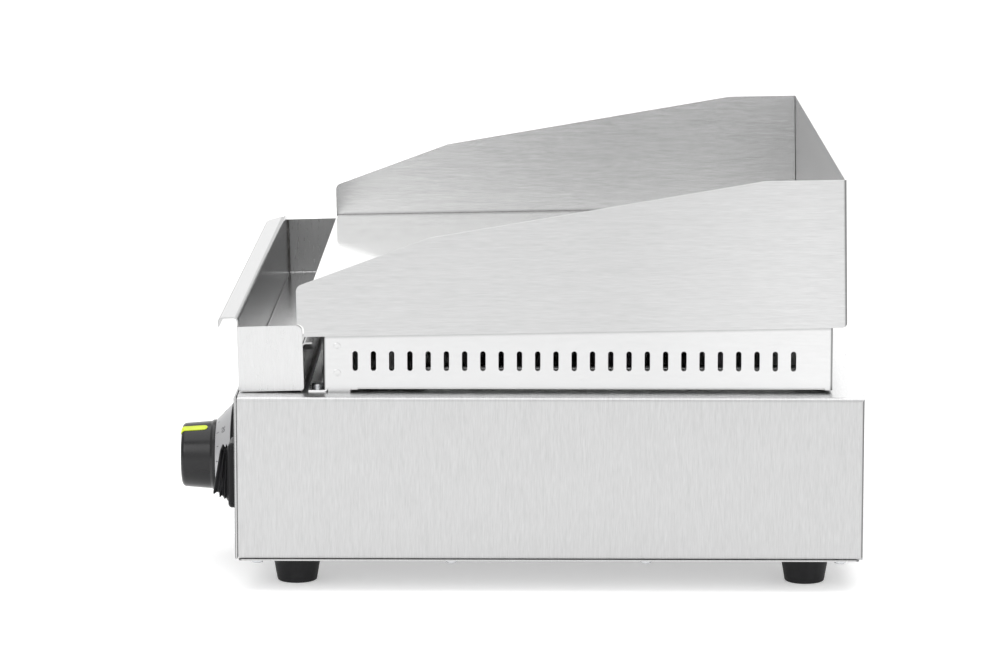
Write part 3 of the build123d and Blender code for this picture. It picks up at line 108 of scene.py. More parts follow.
# ---------------------------------------------------------------- material helpers
class Shader:
    """One material: its Principled shader and short calls for the nodes that feed it."""

    def __init__(self, name, **sockets):
        self.material = bpy.data.materials.new(name)
        self.material.use_nodes = True
        self.tree = self.material.node_tree
        self.surface = self.tree.nodes["Principled BSDF"]
        self.place = self.tree.nodes.new("ShaderNodeTexCoord").outputs["Object"]
        for socket, value in sockets.items():
            self.surface.inputs[socket.replace("_", " ")].default_value = value

    def noise(self, frequency, detail=2.0, roughness=0.5):
        """Noise whose cells per metre are given for each axis, or one number for all."""
        if not isinstance(frequency, tuple):
            frequency = (frequency,) * 3
        scaled = self.tree.nodes.new("ShaderNodeMapping")
        scaled.inputs["Scale"].default_value = frequency
        self.tree.links.new(self.place, scaled.inputs["Vector"])
        node = self.tree.nodes.new("ShaderNodeTexNoise")
        node.inputs["Scale"].default_value = 1.0
        node.inputs["Detail"].default_value = detail
        node.inputs["Roughness"].default_value = roughness
        self.tree.links.new(scaled.outputs["Vector"], node.inputs["Vector"])
        return node.outputs["Fac"]

    def cells(self, frequency):
        """Distance to the middle of the nearest cell, for grains and pits."""
        node = self.tree.nodes.new("ShaderNodeTexVoronoi")
        node.inputs["Scale"].default_value = frequency
        self.tree.links.new(self.place, node.inputs["Vector"])
        return node.outputs["Distance"]

    def span(self, source, low, high, from_low=0.3, from_high=0.7):
        """Source's middle range stretched to low..high."""
        return spread(self.tree, source, low, high, from_low, from_high)

    def normal(self):
        """The X, Y and Z of the surface's direction."""
        geometry = self.tree.nodes.new("ShaderNodeNewGeometry")
        return parts_of(self.tree, geometry.outputs["Normal"])

    def blend(self, first, second, share):
        """Weighted sum of two sources; share is the second one's weight."""
        node = self.tree.nodes.new("ShaderNodeMix")
        node.inputs["Factor"].default_value = share
        self.tree.links.new(first, node.inputs["A"])
        self.tree.links.new(second, node.inputs["B"])
        return node.outputs["Result"]

    def colour(self, source, dark, light):
        """Base colour running from dark to light with the source."""
        node = self.tree.nodes.new("ShaderNodeValToRGB")
        node.color_ramp.elements[0].position = 0.25
        node.color_ramp.elements[0].color = (*dark, 1.0)
        node.color_ramp.elements[1].position = 0.75
        node.color_ramp.elements[1].color = (*light, 1.0)
        self.tree.links.new(source, node.inputs["Fac"])
        self.tree.links.new(node.outputs["Color"], self.surface.inputs["Base Color"])

    def times(self, source):
        """Multiplies the base colour by the source."""
        ready = self.surface.inputs["Base Color"].links[0].from_socket
        node = self.tree.nodes.new("ShaderNodeMix")
        node.data_type = "RGBA"
        node.blend_type = "MULTIPLY"
        node.inputs["Factor"].default_value = 1.0
        self.tree.links.new(ready, node.inputs[6])
        self.tree.links.new(source, node.inputs[7])
        self.tree.links.new(node.outputs[2], self.surface.inputs["Base Color"])

    def seams(self, reach, low):
        """Painted shade: darkens the colour to the low share where other surfaces lie within
        reach, as in gaps, corners and contacts.
        """
        node = self.tree.nodes.new("ShaderNodeAmbientOcclusion")
        node.samples = 4
        node.inputs["Distance"].default_value = reach
        self.times(self.span(node.outputs["AO"], low, 1.0, 0.45, 0.95))

    def bends(self, low):
        """Painted shade: darkens the colour to the low share along the bends at the front and
        rear.
        """
        turned = size_of(self.tree, self.normal()["Y"])
        band = self.tree.nodes.new("ShaderNodeValToRGB")
        stops = [(0.25, 1.0), (0.50, low), (0.88, low), (0.985, 1.0)]
        while len(band.color_ramp.elements) < len(stops):
            band.color_ramp.elements.new(0.5)
        for stop, (position, share) in zip(band.color_ramp.elements, stops):
            stop.position = position
            stop.color = (share, share, share, 1.0)
        self.tree.links.new(turned, band.inputs["Fac"])
        self.times(band.outputs["Color"])

    def facing_front(self, low):
        """Painted shade: darkens the colour to the low share on the faces that look to the
        front.
        """
        self.times(self.span(self.normal()["Y"], low, 1.0, -0.9, -0.4))

    def zone(self, axis, start, end, low, high):
        """Value going from low to high along an object axis or its magnitude, as in '|x|'."""
        along = parts_of(self.tree, self.place)[axis.strip("|").upper()]
        if axis.startswith("|"):
            along = size_of(self.tree, along)
        return self.span(along, low, high, start, end)

    def rough(self, source, low, high):
        """Roughness running from low to high with the source."""
        self.tree.links.new(self.span(source, low, high), self.surface.inputs["Roughness"])

    def bump(self, source, height):
        """Raises the surface with the source, by at most the height."""
        node = self.tree.nodes.new("ShaderNodeBump")
        node.inputs["Distance"].default_value = height
        node.inputs["Strength"].default_value = 1.0
        self.tree.links.new(source, node.inputs["Height"])
        self.tree.links.new(node.outputs["Normal"], self.surface.inputs["Normal"])


def tinted(colour, factor):
    """A colour made lighter or darker by the factor."""
    return tuple(channel * factor for channel in colour)


# ---------------------------------------------------------------- steels
# Stainless steel's own colour. The steel parts take it made lighter or darker by a factor each,
# as painted light and shade set for how brightly each part is lit.
STEEL = (0.598, 0.599, 0.600)


def brushed(name, shade, grain, streak=0.07, gloss=(0.24, 0.38), depth=0.012 * MM,
            length=1.0, pitch=1.0, seams=0.4):
    """Brushed stainless sheet. The grain names the axes that the brush lines vary along;
    the last argument is the share of colour left by the painted shade in the narrow gaps where
    sheets meet, and the bends at the front and rear get painted shade as well."""
    fine = tuple(1900.0 / pitch if axis in grain else 130.0 / length for axis in "xyz")
    broad = tuple(650.0 / pitch if axis in grain else 40.0 / length for axis in "xyz")
    shader = Shader(name, Metallic=1.0)
    lines = shader.noise(fine, detail=3.0, roughness=0.6)
    bands = shader.noise(broad, detail=2.0)
    both = shader.blend(lines, bands, 0.3)
    shader.colour(both, tinted(shade, 1.0 - streak), tinted(shade, 1.0 + streak))
    # painted shade in the narrow gaps, then painted shade along the bends
    shader.seams(2.2 * MM, seams)
    shader.bends(0.40)
    shader.rough(both, *gloss)
    shader.bump(lines, depth)
    return shader


def polished_steel():
    """Mirror polished cooking surface with faint lengthwise polishing lines."""
    shader = Shader("polished_plate", Metallic=1.0)
    lines = shader.noise((900.0, 10.0, 900.0), detail=3.0)
    haze = shader.noise(16.0, detail=4.0)
    shader.colour(haze, (0.70, 0.70, 0.69), (0.74, 0.74, 0.735))
    shader.rough(shader.blend(lines, haze, 0.5), 0.045, 0.11)
    shader.bump(lines, 0.0012 * MM)
    return shader.material


def weld_metal():
    """Ground weld: rippled and patchy grey."""
    shader = Shader("weld", Metallic=1.0)
    ripple = shader.noise(700.0, detail=3.0, roughness=0.6)
    tint = shader.noise(90.0, detail=2.0)
    shader.colour(tint, (0.16, 0.15, 0.14), (0.34, 0.33, 0.32))
    shader.rough(ripple, 0.30, 0.50)
    shader.bump(ripple, 0.10 * MM)
    return shader.material


def zinc():
    """Zinc plated screws and nuts: faintly blue, with a fine crystalline mottle."""
    shader = Shader("zinc_steel", Metallic=1.0)
    mottle = shader.noise(900.0, detail=4.0, roughness=0.65)
    shader.colour(mottle, (0.46, 0.47, 0.49), (0.66, 0.67, 0.68))
    shader.rough(mottle, 0.24, 0.40)
    shader.bump(mottle, 0.02 * MM)
    return shader.material


def heater_sheath():
    """Heating element tube, dulled and darkened by heat."""
    shader = Shader("heater_sheath", Metallic=0.8)
    scale = shader.noise(260.0, detail=5.0, roughness=0.7)
    shader.colour(scale, (0.10, 0.095, 0.09), (0.24, 0.22, 0.20))
    shader.rough(scale, 0.45, 0.70)
    shader.bump(scale, 0.05 * MM)
    return shader.material


def warm_metal(name, dark, light, gloss):
    """Copper or brass with a little tarnish."""
    shader = Shader(name, Metallic=1.0)
    tarnish = shader.noise(320.0, detail=4.0, roughness=0.6)
    shader.colour(tarnish, dark, light)
    shader.rough(tarnish, *gloss)
    shader.bump(shader.noise(1500.0), 0.01 * MM)
    return shader.material


# ---------------------------------------------------------------- other materials
def moulded(name, dark, light, gloss, grain=1600.0, depth=0.020 * MM, **sockets):
    """Moulded plastic or rubber with a fine surface grain."""
    shader = Shader(name, **sockets)
    skin = shader.noise(grain, detail=2.0)
    cloud = shader.noise(70.0, detail=3.0)
    shader.colour(cloud, dark, light)
    shader.rough(shader.blend(skin, cloud, 0.4), *gloss)
    shader.bump(skin, depth)
    return shader.material


def fibre_mat():
    """Soft ceramic fibre with matted strands."""
    shader = Shader("fibre", Sheen_Weight=0.3)
    strands = shader.noise((900.0, 260.0, 500.0), detail=6.0, roughness=0.75)
    shader.colour(strands, (0.70, 0.68, 0.62), (0.86, 0.85, 0.80))
    shader.rough(strands, 0.85, 0.98)
    shader.bump(strands, 0.6 * MM)
    return shader.material


def steatite():
    """Unglazed off-white ceramic with small pores."""
    shader = Shader("ceramic_white")
    pores = shader.cells(1400.0)
    cloud = shader.noise(140.0, detail=3.0)
    shader.colour(cloud, (0.70, 0.68, 0.62), (0.82, 0.80, 0.75))
    shader.rough(cloud, 0.45, 0.65)
    shader.bump(pores, 0.03 * MM)
    return shader.material


def lens(name, dark, light):
    """Tinted clear lens of a pilot lamp, with moulded prisms behind its face."""
    shader = Shader(name, Transmission_Weight=0.35, IOR=1.49, Coat_Weight=0.4)
    prisms = shader.cells(900.0)
    shader.colour(shader.noise(220.0), dark, light)
    shader.rough(prisms, 0.08, 0.22)
    shader.bump(prisms, 0.05 * MM)
    return shader.material


def guard_steel():
    """The guard's sheet, with painted shade on its outside and on the faces that look to the
    front, and painted light towards its rear.
    """
    shader = brushed("guard_steel", tinted(STEEL, 1.12), "z", streak=0.12, gloss=(0.22, 0.26),
                     depth=0.001 * MM, length=1.4, pitch=1.0)
    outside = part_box("splash_guard")[1].x
    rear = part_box("splash_guard")[1].y
    # painted shade: the outside faces darker than the inside ones
    shader.times(shader.zone("|x|", outside - 0.8 * MM, outside - 0.2 * MM, 1.0, 0.74))
    # painted light: lighter towards the rear
    shader.times(shader.zone("y", rear - 0.14, rear - 0.03, 1.0, 1.13))
    # painted shade on the faces that look to the front
    shader.facing_front(0.55)
    return shader.material


def base_steel():
    """The base's sheet, with a painted reflection brightening its top face."""
    shader = brushed("base_steel", tinted(STEEL, 0.82), "y", streak=0.14, gloss=(0.28, 0.40),
                     seams=1.0)
    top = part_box("base_shell")[1].z
    # painted reflection: the top face made brighter
    shader.times(shader.zone("z", top - 0.6 * MM, top - 0.2 * MM, 1.0, 1.7))
    return shader.material


def surround_steel():
    """The surround's sheet, a little lighter towards its rear."""
    shader = brushed("surround_steel", tinted(STEEL, 0.98), "z", streak=0.06,
                     gloss=(0.16, 0.26), depth=0.006 * MM, pitch=2.0)
    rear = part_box("vent_surround")[1].y
    shader.times(shader.zone("y", rear - 0.12, rear, 1.0, 1.10))
    return shader.material


def tray_end_steel():
    """The tray's end caps: darker on their inside faces, within the tray, than outside."""
    shader = brushed("tray_end_steel", tinted(STEEL, 1.0), "y", depth=0.006 * MM)
    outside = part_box("tray_ends")[1].x
    shader.times(shader.zone("|x|", outside - 0.9 * MM, outside - 0.5 * MM, 0.70, 1.0))
    return shader.material


def dial_face():
    """Silver grey dial, painted black as shade on every face but its sloping front."""
    shader = Shader("dial_grey", Metallic=0.35)
    skin = shader.noise(1600.0, detail=2.0)
    # painted shade: the faces that do not look to the front turn black
    unshaded_front = shader.span(shader.normal()["Y"], 1.0, 0.0, -0.35, -0.25)
    shader.colour(unshaded_front, (0.012, 0.012, 0.013), (0.44, 0.44, 0.45))
    shader.rough(skin, 0.28, 0.40)
    shader.bump(skin, 0.008 * MM)
    return shader.material


def boot_rubber():
    """Thin black rubber, with painted highlights in grey along the sharp edges of its bellows.
    """
    shader = Shader("boot_rubber", Specular_IOR_Level=0.3)
    skin = shader.noise(1100.0, detail=2.0)
    # painted highlight: the sharp edges turn grey
    painted_edge_highlight = shader.tree.nodes.new("ShaderNodeNewGeometry").outputs["Pointiness"]
    shader.colour(shader.span(painted_edge_highlight, 0.0, 1.0, 0.52, 0.60), (0.006, 0.006, 0.007),
                  (0.10, 0.10, 0.105))
    shader.rough(skin, 0.40, 0.55)
    shader.bump(skin, 0.02 * MM)
    return shader.material


MATERIALS = {
    "base_steel": base_steel(),
    # panel, apron and tray: STEEL made lighter or darker as painted light and shade
    "panel_steel": brushed("panel_steel", tinted(STEEL, 0.82), "z").material,
    "guard_steel": guard_steel(),
    "surround_steel": surround_steel(),
    "apron_steel": brushed("apron_steel", tinted(STEEL, 1.45), "z", streak=0.05,
                           gloss=(0.05, 0.10), depth=0.002 * MM, seams=1.0).material,
    "tray_steel": brushed("tray_steel", tinted(STEEL, 0.76), "x", streak=0.10,
                          gloss=(0.14, 0.26), depth=0.006 * MM, seams=0.8).material,
    "tray_end_steel": tray_end_steel(),
    "polished_plate": polished_steel(),
    "weld": weld_metal(),
    "zinc_steel": zinc(),
    "heater_sheath": heater_sheath(),
    "copper": warm_metal("copper", (0.52, 0.28, 0.18), (0.76, 0.44, 0.30), (0.28, 0.45)),
    "brass": warm_metal("brass", (0.55, 0.42, 0.20), (0.78, 0.62, 0.33), (0.22, 0.38)),
    "ceramic_white": steatite(),
    "fibre": fibre_mat(),
    "black_rubber": moulded("black_rubber", (0.010, 0.010, 0.011), (0.020, 0.020, 0.021),
                            (0.48, 0.66), grain=1100.0, depth=0.03 * MM,
                            Specular_IOR_Level=0.18),
    "black_plastic": moulded("black_plastic", (0.008, 0.008, 0.009), (0.013, 0.013, 0.014),
                             (0.18, 0.28), depth=0.012 * MM, Specular_IOR_Level=0.36),
    "frame_black": moulded("frame_black", (0.005, 0.005, 0.006), (0.009, 0.009, 0.010),
                           (0.30, 0.42), Specular_IOR_Level=0.2),
    "dial_grey": dial_face(),
    "boot_rubber": boot_rubber(),
    "dial_ink": moulded("dial_ink", (0.035, 0.035, 0.04), (0.06, 0.06, 0.065), (0.5, 0.6)),
    "pointer_green": moulded("pointer_green", (0.60, 0.72, 0.01), (0.68, 0.80, 0.02),
                             (0.26, 0.36), depth=0.006 * MM),
    "lamp_green": lens("lamp_green", (0.03, 0.36, 0.07), (0.06, 0.50, 0.12)),
    "lamp_orange": lens("lamp_orange", (0.75, 0.22, 0.01), (0.90, 0.34, 0.03)),
    "reset_red": moulded("reset_red", (0.42, 0.02, 0.015), (0.52, 0.03, 0.02), (0.25, 0.36)),
    "wire_brown": moulded("wire_brown", (0.13, 0.05, 0.02), (0.18, 0.07, 0.03), (0.35, 0.5)),
    "wire_earth": moulded("wire_earth", (0.20, 0.42, 0.03), (0.42, 0.55, 0.03), (0.35, 0.5)),
}
FINISHES = {
    "base_steel": "base_shell bottom_plate",
    "panel_steel": "front_panel rear_panel",
    "guard_steel": "splash_guard heat_shield",
    "surround_steel": "vent_surround",
    "apron_steel": "front_apron",
    "tray_steel": "tray_pan",
    "tray_end_steel": "tray_ends",
    "polished_plate": "griddle_plate",
    "weld": "splash_weld",
    "zinc_steel": "rear_panel_screws bottom_screws foot_screws foot_nuts top_screws clamp_bars "
                  "plate_studs clamp_nuts bulb_strap strap_nut thermostat_screws "
                  "thermostat_shaft knob_grub_screw switch_pin",
    "heater_sheath": "right_element left_element",
    "copper": "thermostat_bulb limiter_bulb",
    "brass": "switch_tabs limiter_nut terminal_screws earth_stud earth_nuts",
    "ceramic_white": "element_terminals limiter_body terminal_block",
    "fibre": "insulation_pad",
    "black_rubber": "rubber_feet boot_seat boot_cap",
    "frame_black": "switch_frame",
    "black_plastic": "thermostat_body knob switch_body switch_rocker "
                     "lamp_bodies lamp_nuts gland_body gland_cap gland_nut",
    "dial_grey": "dial_ring",
    "pointer_green": "knob_pointer",
    "lamp_green": "power_lamp",
    "lamp_orange": "heating_lamp",
    "reset_red": "reset_button",
    "wire_brown": "supply_wires heater_wires",
    "wire_earth": "earth_wire",
}
for finish, names in FINISHES.items():
    for name in names.split():
        for material_slot in frame["nodes"][name].material_slots:
            material_slot.material = MATERIALS[finish]


# ---------------------------------------------------------------- mesh helpers
def piece(name, mesh, finish, body=None, smooth=True):
    """Object with a finish from the list above; it rides on the body if one is named."""
    thing = bpy.data.objects.new(name, mesh)
    bpy.context.scene.collection.objects.link(thing)
    mesh.materials.clear()
    mesh.materials.append(MATERIALS[finish])
    mesh.polygons.foreach_set("use_smooth", [smooth] * len(mesh.polygons))
    if body:
        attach(thing, body)
    return thing


def mesh_from(form, name):
    """Mesh of a finished bmesh, its faces turned outward."""
    bmesh.ops.recalc_face_normals(form, faces=form.faces)
    mesh = bpy.data.meshes.new(name)
    form.to_mesh(mesh)
    form.free()
    return mesh


PANEL_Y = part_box("front_panel")[0].y
BOOT_CAP_OUT = 8.3 * MM          # and from here on it is the rocker's cap
SPOT_WELD_Z = (154.1 * MM, 137.2 * MM)
JOINTS = {joint["name"]: joint for joint in frame["joints"]}


# ---------------------------------------------------------------- switch boot
def rounded_loop(half_width, half_height, corner, steps=7):
    """Points round a rectangle with arc corners, in its own plane."""
    points = []
    for quarter in range(4):
        turn = quarter * pi / 2
        side_x = 1 if quarter in (0, 3) else -1
        side_y = 1 if quarter in (0, 1) else -1
        middle_x = side_x * (half_width - corner)
        middle_y = side_y * (half_height - corner)
        for step in range(steps):
            angle = turn + step / (steps - 1) * pi / 2
            points.append((middle_x + corner * cos(angle), middle_y + corner * sin(angle)))
    return points


def switch_boot():
    """Rubber bellows from the switch frame to the leaning rocker, one skin 0.7 mm thick."""
    hinge = Vector(JOINTS["rocker_tilt"]["pos_m"])
    lean = radians(JOINTS["rocker_tilt"]["range_deg"][1] / 2)
    seat_out = hinge.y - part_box("switch_frame")[0].y
    # (share of the way from seat to cap, lift beyond it, half width, half height, corner)
    rings = [
        (0.00, 0.02, 12.5, 17.25, 4.5),
        (0.02, 0.50, 12.4, 17.15, 4.5),
        (0.10, 0.55, 11.2, 15.60, 4.0),
        (0.22, 0.55, 11.0, 15.30, 4.0),
        (0.26, 0.35, 11.9, 16.15, 4.2),
        (0.30, 0.50, 12.0, 16.25, 4.2),
        (0.34, 0.65, 11.9, 16.10, 4.2),
        (0.44, 1.05, 10.4, 14.70, 3.8),
        (0.54, 1.15, 10.3, 14.60, 3.8),
        (0.60, 1.35, 11.6, 15.95, 4.1),
        (0.64, 1.50, 11.7, 16.05, 4.1),
        (0.68, 1.55, 11.5, 15.90, 4.1),
        (0.76, 1.55, 9.4, 13.50, 3.6),
        (0.88, 1.50, 9.3, 13.40, 3.6),
        (1.00, 1.90, 9.6, 13.80, 3.6),
        (1.00, 2.85, 10.2, 15.10, 3.8),
        (1.00, 3.40, 10.25, 15.20, 3.8),
        (1.00, 3.70, 10.1, 15.00, 3.7),
        (1.00, 3.88, 9.2, 14.00, 3.2),
        (1.00, 3.90, 7.6, 12.10, 2.4),
        (1.00, 3.84, 4.00, 8.00, 1.6),
    ]
    form = bmesh.new()
    loops = []
    for share, lift, half_width, half_height, corner in rings:
        tilt = Matrix.Rotation(-lean * share, 3, "X")
        out = seat_out + (BOOT_CAP_OUT - seat_out) * share + lift * MM
        loop = []
        for x, z in rounded_loop(half_width * MM, half_height * MM, corner * MM):
            loop.append(form.verts.new(hinge + tilt @ Vector((x, -out, z))))
        loops.append(loop)
    for lower, upper in zip(loops, loops[1:]):
        for index in range(len(lower)):
            ahead = (index + 1) % len(lower)
            form.faces.new((lower[index], lower[ahead], upper[ahead], upper[index]))
    form.faces.new(loops[-1])
    boot = piece("switch_boot", mesh_from(form, "switch_boot"), "boot_rubber")
    skin = boot.modifiers.new("skin", "SOLIDIFY")
    skin.thickness = 0.7 * MM
    skin.offset = -1.0
    round_off = boot.modifiers.new("round_off", "SUBSURF")
    round_off.levels = 2
    round_off.render_levels = 2
    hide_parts("boot_seat", "boot_cap")
    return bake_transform(boot)


# ---------------------------------------------------------------- dial scale
DIAL_INNER = Vector((23.2, 18.6)) * MM       # radius and distance out from the panel
DIAL_OUTER = Vector((33.8, 8.2)) * MM
DIAL_SWEEP = 270.0                            # degrees from the scale's start to its end
DIAL_NUMBERS = (50, 100, 150, 200, 250, 300)
DIAL_CENTRE = Vector((middle("dial_ring").x, PANEL_Y, middle("dial_ring").z))


def on_dial(angle, along, lift):
    """Point over the dial's cone: clockwise angle from the top, metres in from the rim."""
    slope = (DIAL_INNER - DIAL_OUTER).normalized()
    radius, out = DIAL_OUTER + slope * along + Vector((slope.y, -slope.x)) * lift
    return DIAL_CENTRE + Vector((radius * sin(angle), -out, radius * cos(angle)))


def wrap_on_dial(mesh, angle, along):
    """Lays a flat mesh over the dial, its foot to the rim, cut so that it follows the curve."""
    cut_every = 0.4 * MM
    form = bmesh.new()
    form.from_mesh(mesh)
    reach = max(abs(vertex.co.x) for vertex in form.verts)
    cuts = int(reach / cut_every) + 1
    for step in range(-cuts, cuts + 1):
        everything = [*form.verts, *form.edges, *form.faces]
        bmesh.ops.bisect_plane(form, geom=everything, plane_co=(step * cut_every, 0, 0),
                               plane_no=(1, 0, 0))
    radius = (DIAL_INNER.x + DIAL_OUTER.x) / 2
    for vertex in form.verts:
        x, y, z = vertex.co
        vertex.co = on_dial(angle + x / radius, along + y, z)
    form.to_mesh(mesh)
    form.free()


def number_mesh(text, size):
    """Raised figures, centred on the origin and standing on it."""
    letters = bpy.data.curves.new("figures", "FONT")
    letters.body = text
    letters.size = size
    letters.align_x = "CENTER"
    letters.extrude = 0.05 * MM
    letters.resolution_u = 4
    holder = bpy.data.objects.new("figures", letters)
    bpy.context.scene.collection.objects.link(holder)
    bpy.context.view_layer.update()
    mesh = bpy.data.meshes.new_from_object(holder.evaluated_get(
        bpy.context.evaluated_depsgraph_get()))
    bpy.data.objects.remove(holder)
    return mesh


def bar_mesh(width, height):
    """Small raised bar for a scale mark, standing on the origin."""
    form = bmesh.new()
    bmesh.ops.create_cube(form, size=1.0)
    for vertex in form.verts:
        x, y, z = vertex.co
        vertex.co = (x * width, (y + 0.5) * height, z * 0.1 * MM)
    return mesh_from(form, "mark")


def dial_scale():
    """Numbers and marks in print round the dial, as one piece."""
    joined = bmesh.new()
    marks = 2 * len(DIAL_NUMBERS)
    for step in range(marks + 1):
        angle = radians(DIAL_SWEEP * step / marks)
        long_mark = step % 2 == 0
        bar = bar_mesh(0.45 * MM, (2.4 if long_mark else 1.5) * MM)
        wrap_on_dial(bar, angle, 11.4 * MM)
        joined.from_mesh(bar)
    for index, number in enumerate(DIAL_NUMBERS):
        figures = number_mesh(str(number), 4.6 * MM)
        wrap_on_dial(figures, radians(DIAL_SWEEP * (index + 1) / len(DIAL_NUMBERS)), 5.4 * MM)
        joined.from_mesh(figures)
    off = number_mesh("0", 4.6 * MM)
    wrap_on_dial(off, 0.0, 5.4 * MM)
    joined.from_mesh(off)
    return piece("dial_scale", mesh_from(joined, "dial_scale"), "dial_ink",
                 body="housing", smooth=False)


# ---------------------------------------------------------------- welds
def bead(name, start, end, normal, radius, body, finish="weld", pitch=1.6 * MM):
    """Weld bead: overlapping flattened drops in a row, of slightly uneven size."""
    form = bmesh.new()
    start, end, normal = Vector(start), Vector(end), Vector(normal).normalized()
    along = (end - start).normalized()
    across = normal.cross(along)
    count = max(2, int((end - start).length / pitch) + 1)
    for index in range(count):
        swell = 1.0 + 0.18 * sin(index * 2.4) + 0.10 * sin(index * 5.3)
        centre = start.lerp(end, index / (count - 1)) + across * 0.12 * radius * sin(index * 1.7)
        drop = bmesh.ops.create_uvsphere(form, u_segments=16, v_segments=10, radius=1.0)
        for vertex in drop["verts"]:
            x, y, z = vertex.co
            vertex.co = centre + (along * x * pitch * 1.1 + across * y * radius * swell
                                  + normal * z * radius * 0.45 * swell)
    return piece(name, mesh_from(form, name), finish, body=body)


def spot_weld(name, centre, radius, body):
    """Shallow dimple left by spot welding, on a face that looks along +X."""
    profile = [(0.0, 0.02), (0.35, 0.02), (0.6, 0.05), (0.75, 0.11), (0.88, 0.09), (1.0, -0.05)]
    turns = 28
    form = bmesh.new()
    rings = []
    for share, height in profile:
        ring = []
        for step in range(turns if share else 1):
            angle = 2 * pi * step / turns
            ring.append(form.verts.new(Vector(centre) + Vector((
                height * MM, radius * share * cos(angle), radius * share * sin(angle)))))
        rings.append(ring)
    for step in range(turns):
        ahead = (step + 1) % turns
        form.faces.new((rings[0][0], rings[1][step], rings[1][ahead]))
        for inner, outer in zip(rings[1:], rings[2:]):
            form.faces.new((inner[step], outer[step], outer[ahead], inner[ahead]))
    return piece(name, mesh_from(form, name), "surround_steel", body=body)


def welds():
    """Beads in the tray's corners and spot welds on the surround's right side."""
    low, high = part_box("tray_pan")
    ends_low, ends_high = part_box("tray_ends")
    wall = 1.0 * MM
    floor_z = low.z + wall + 0.6 * MM
    front = ends_low.y + 2.6 * MM
    rear = ends_high.y - wall * 1.4
    for side, name in ((-1, "left"), (1, "right")):
        inside = side * (high.x - wall * 0.2)
        bead(f"tray_weld_rear_{name}", (inside, rear, floor_z),
             (inside, rear - wall * 0.5, floor_z + 22 * MM), (-side, -1, 0),
             0.9 * MM, "drip_tray")
        bead(f"tray_weld_front_{name}", (inside, front, floor_z),
             (inside, front - wall * 0.9, floor_z + 38 * MM), (-side, 1, 0),
             0.8 * MM, "drip_tray")
        bead(f"tray_weld_floor_{name}", (inside, front, floor_z - 0.4 * MM),
             (inside, rear, floor_z + 0.5 * MM), (-side, 0, 1), 0.8 * MM, "drip_tray",
             finish="tray_end_steel")
    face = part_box("vent_surround")[1].x
    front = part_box("vent_surround")[0].y
    for index, z in enumerate(SPOT_WELD_Z):
        spot_weld(f"surround_spot_{index}", (face, front + 9.0 * MM, z), 2.4 * MM, "housing")


switch_boot()
dial_scale()
welds()


# ---------------------------------------------------------------- studio
FLOOR_GLOW = 0.42
FLOOR_GREY_X = (-1.5, -0.3)      # the floor's grey comes in between these, in metres
FLOOR_GREY_Y = (0.45, 1.8)       # and between these distances to the front and rear
ROOM_LIGHT = 0.85                # strength overhead
ROOM_SIDES = 0.60                # strength to the front and rear
ROOM_BEHIND = 0.45               # added beyond the griddle's two sides


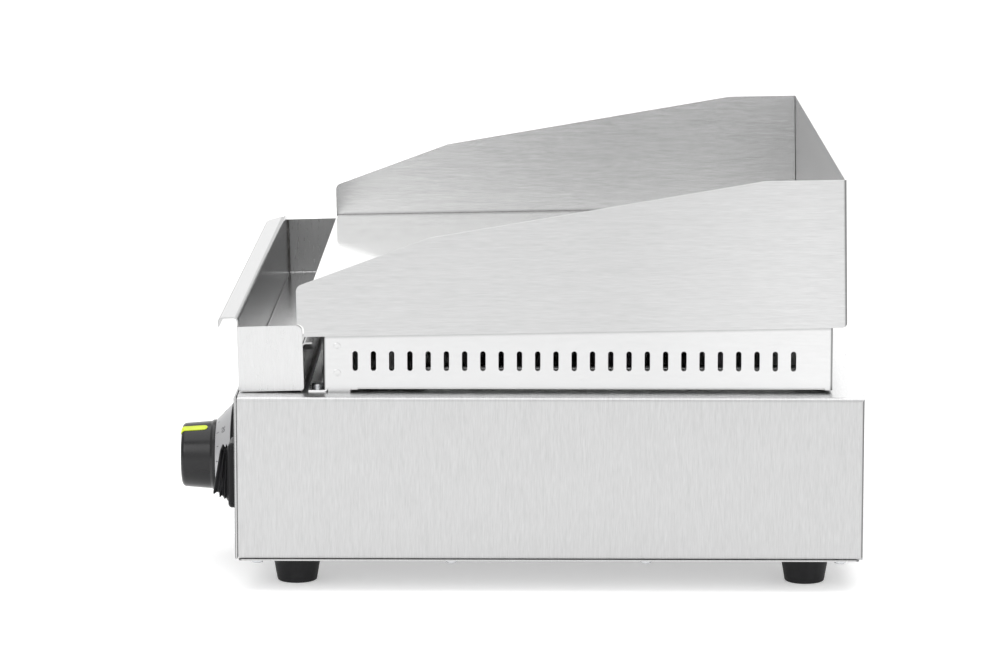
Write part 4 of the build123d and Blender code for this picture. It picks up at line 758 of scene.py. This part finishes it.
def floor():
    """White sweep that glows a little, so the shadow on it stays light. It greys off to the
    sides, which the steel's bends reflect as darker lines."""
    form = bmesh.new()
    bmesh.ops.create_grid(form, x_segments=1, y_segments=1, size=30.0)
    paper = Shader("studio_floor", Roughness=0.9, Emission_Strength=FLOOR_GLOW)
    spot = parts_of(paper.tree, paper.place)
    near = paper.span(spot["X"], 0.0, 1.0, *FLOOR_GREY_X)
    away = paper.span(size_of(paper.tree, spot["Y"]), 0.0, 1.0, *FLOOR_GREY_Y)
    grey = paper.tree.nodes.new("ShaderNodeMath")
    grey.operation = "MULTIPLY"
    paper.tree.links.new(near, grey.inputs[0])
    paper.tree.links.new(away, grey.inputs[1])
    tone = paper.tree.nodes.new("ShaderNodeValToRGB")
    tone.color_ramp.elements[0].color = (0.84, 0.84, 0.84, 1.0)
    tone.color_ramp.elements[1].color = (0.58, 0.58, 0.58, 1.0)
    paper.tree.links.new(grey.outputs["Value"], tone.inputs["Fac"])
    paper.tree.links.new(tone.outputs["Color"], paper.surface.inputs["Base Color"])
    paper.tree.links.new(tone.outputs["Color"], paper.surface.inputs["Emission Color"])
    ground = bpy.data.objects.new("studio_floor", mesh_from(form, "studio_floor"))
    ground.data.materials.append(paper.material)
    bpy.context.scene.collection.objects.link(ground)


def room():
    """White room: brightest beyond the griddle's two sides, grey to its front and rear."""
    world = bpy.data.worlds.new("studio")
    world.use_nodes = True
    tree = world.node_tree
    direction = parts_of(tree, tree.nodes.new("ShaderNodeTexCoord").outputs["Generated"])
    sides = spread(tree, size_of(tree, direction["Y"]), ROOM_LIGHT, ROOM_SIDES, 0.60, 0.90)
    behind = spread(tree, size_of(tree, direction["X"]), 0.0, ROOM_BEHIND, 0.70, 0.95)
    total = tree.nodes.new("ShaderNodeMath")
    tree.links.new(sides, total.inputs[0])
    tree.links.new(behind, total.inputs[1])
    tree.links.new(total.outputs["Value"], tree.nodes["Background"].inputs["Strength"])
    tree.nodes["Background"].inputs["Color"].default_value = (1.0, 1.0, 1.0, 1.0)
    bpy.context.scene.world = world


def softbox(name, place, target, width, height, power):
    """Rectangular lamp at a place, turned to its target."""
    lamp = bpy.data.lights.new(name, "AREA")
    lamp.shape = "RECTANGLE"
    lamp.size = width
    lamp.size_y = height
    lamp.energy = power
    holder = bpy.data.objects.new(name, lamp)
    holder.location = place
    holder.rotation_euler = (Vector(target) - Vector(place)).to_track_quat("-Z", "Y").to_euler()
    bpy.context.scene.collection.objects.link(holder)


def studio():
    """Floor, room and two lamps."""
    floor()
    room()
    softbox("overhead", (0.0, 0.0, 2.4), (0.0, 0.0, 0.0), 3.0, 3.0, 40.0)
    softbox("beside", (2.6, -1.6, 1.8), (0.0, 0.0, 0.1), 1.6, 1.6, 20.0)
    bpy.context.scene.view_settings.view_transform = "Standard"


def camera():
    """Long lens square to the griddle's right side, from a little above."""
    view = bpy.data.cameras.new("photo_view")
    view.sensor_width = 36.0
    view.lens = 149.6
    holder = bpy.data.objects.new("photo_view", view)
    holder.location = (2.834, 0.0087, 0.576)
    holder.rotation_euler = Euler((radians(90 - 9.07), 0.0, radians(90 + 0.556)))
    bpy.context.scene.collection.objects.link(holder)
    bpy.context.scene.camera = holder


studio()
camera()
bpy.context.view_layer.update()
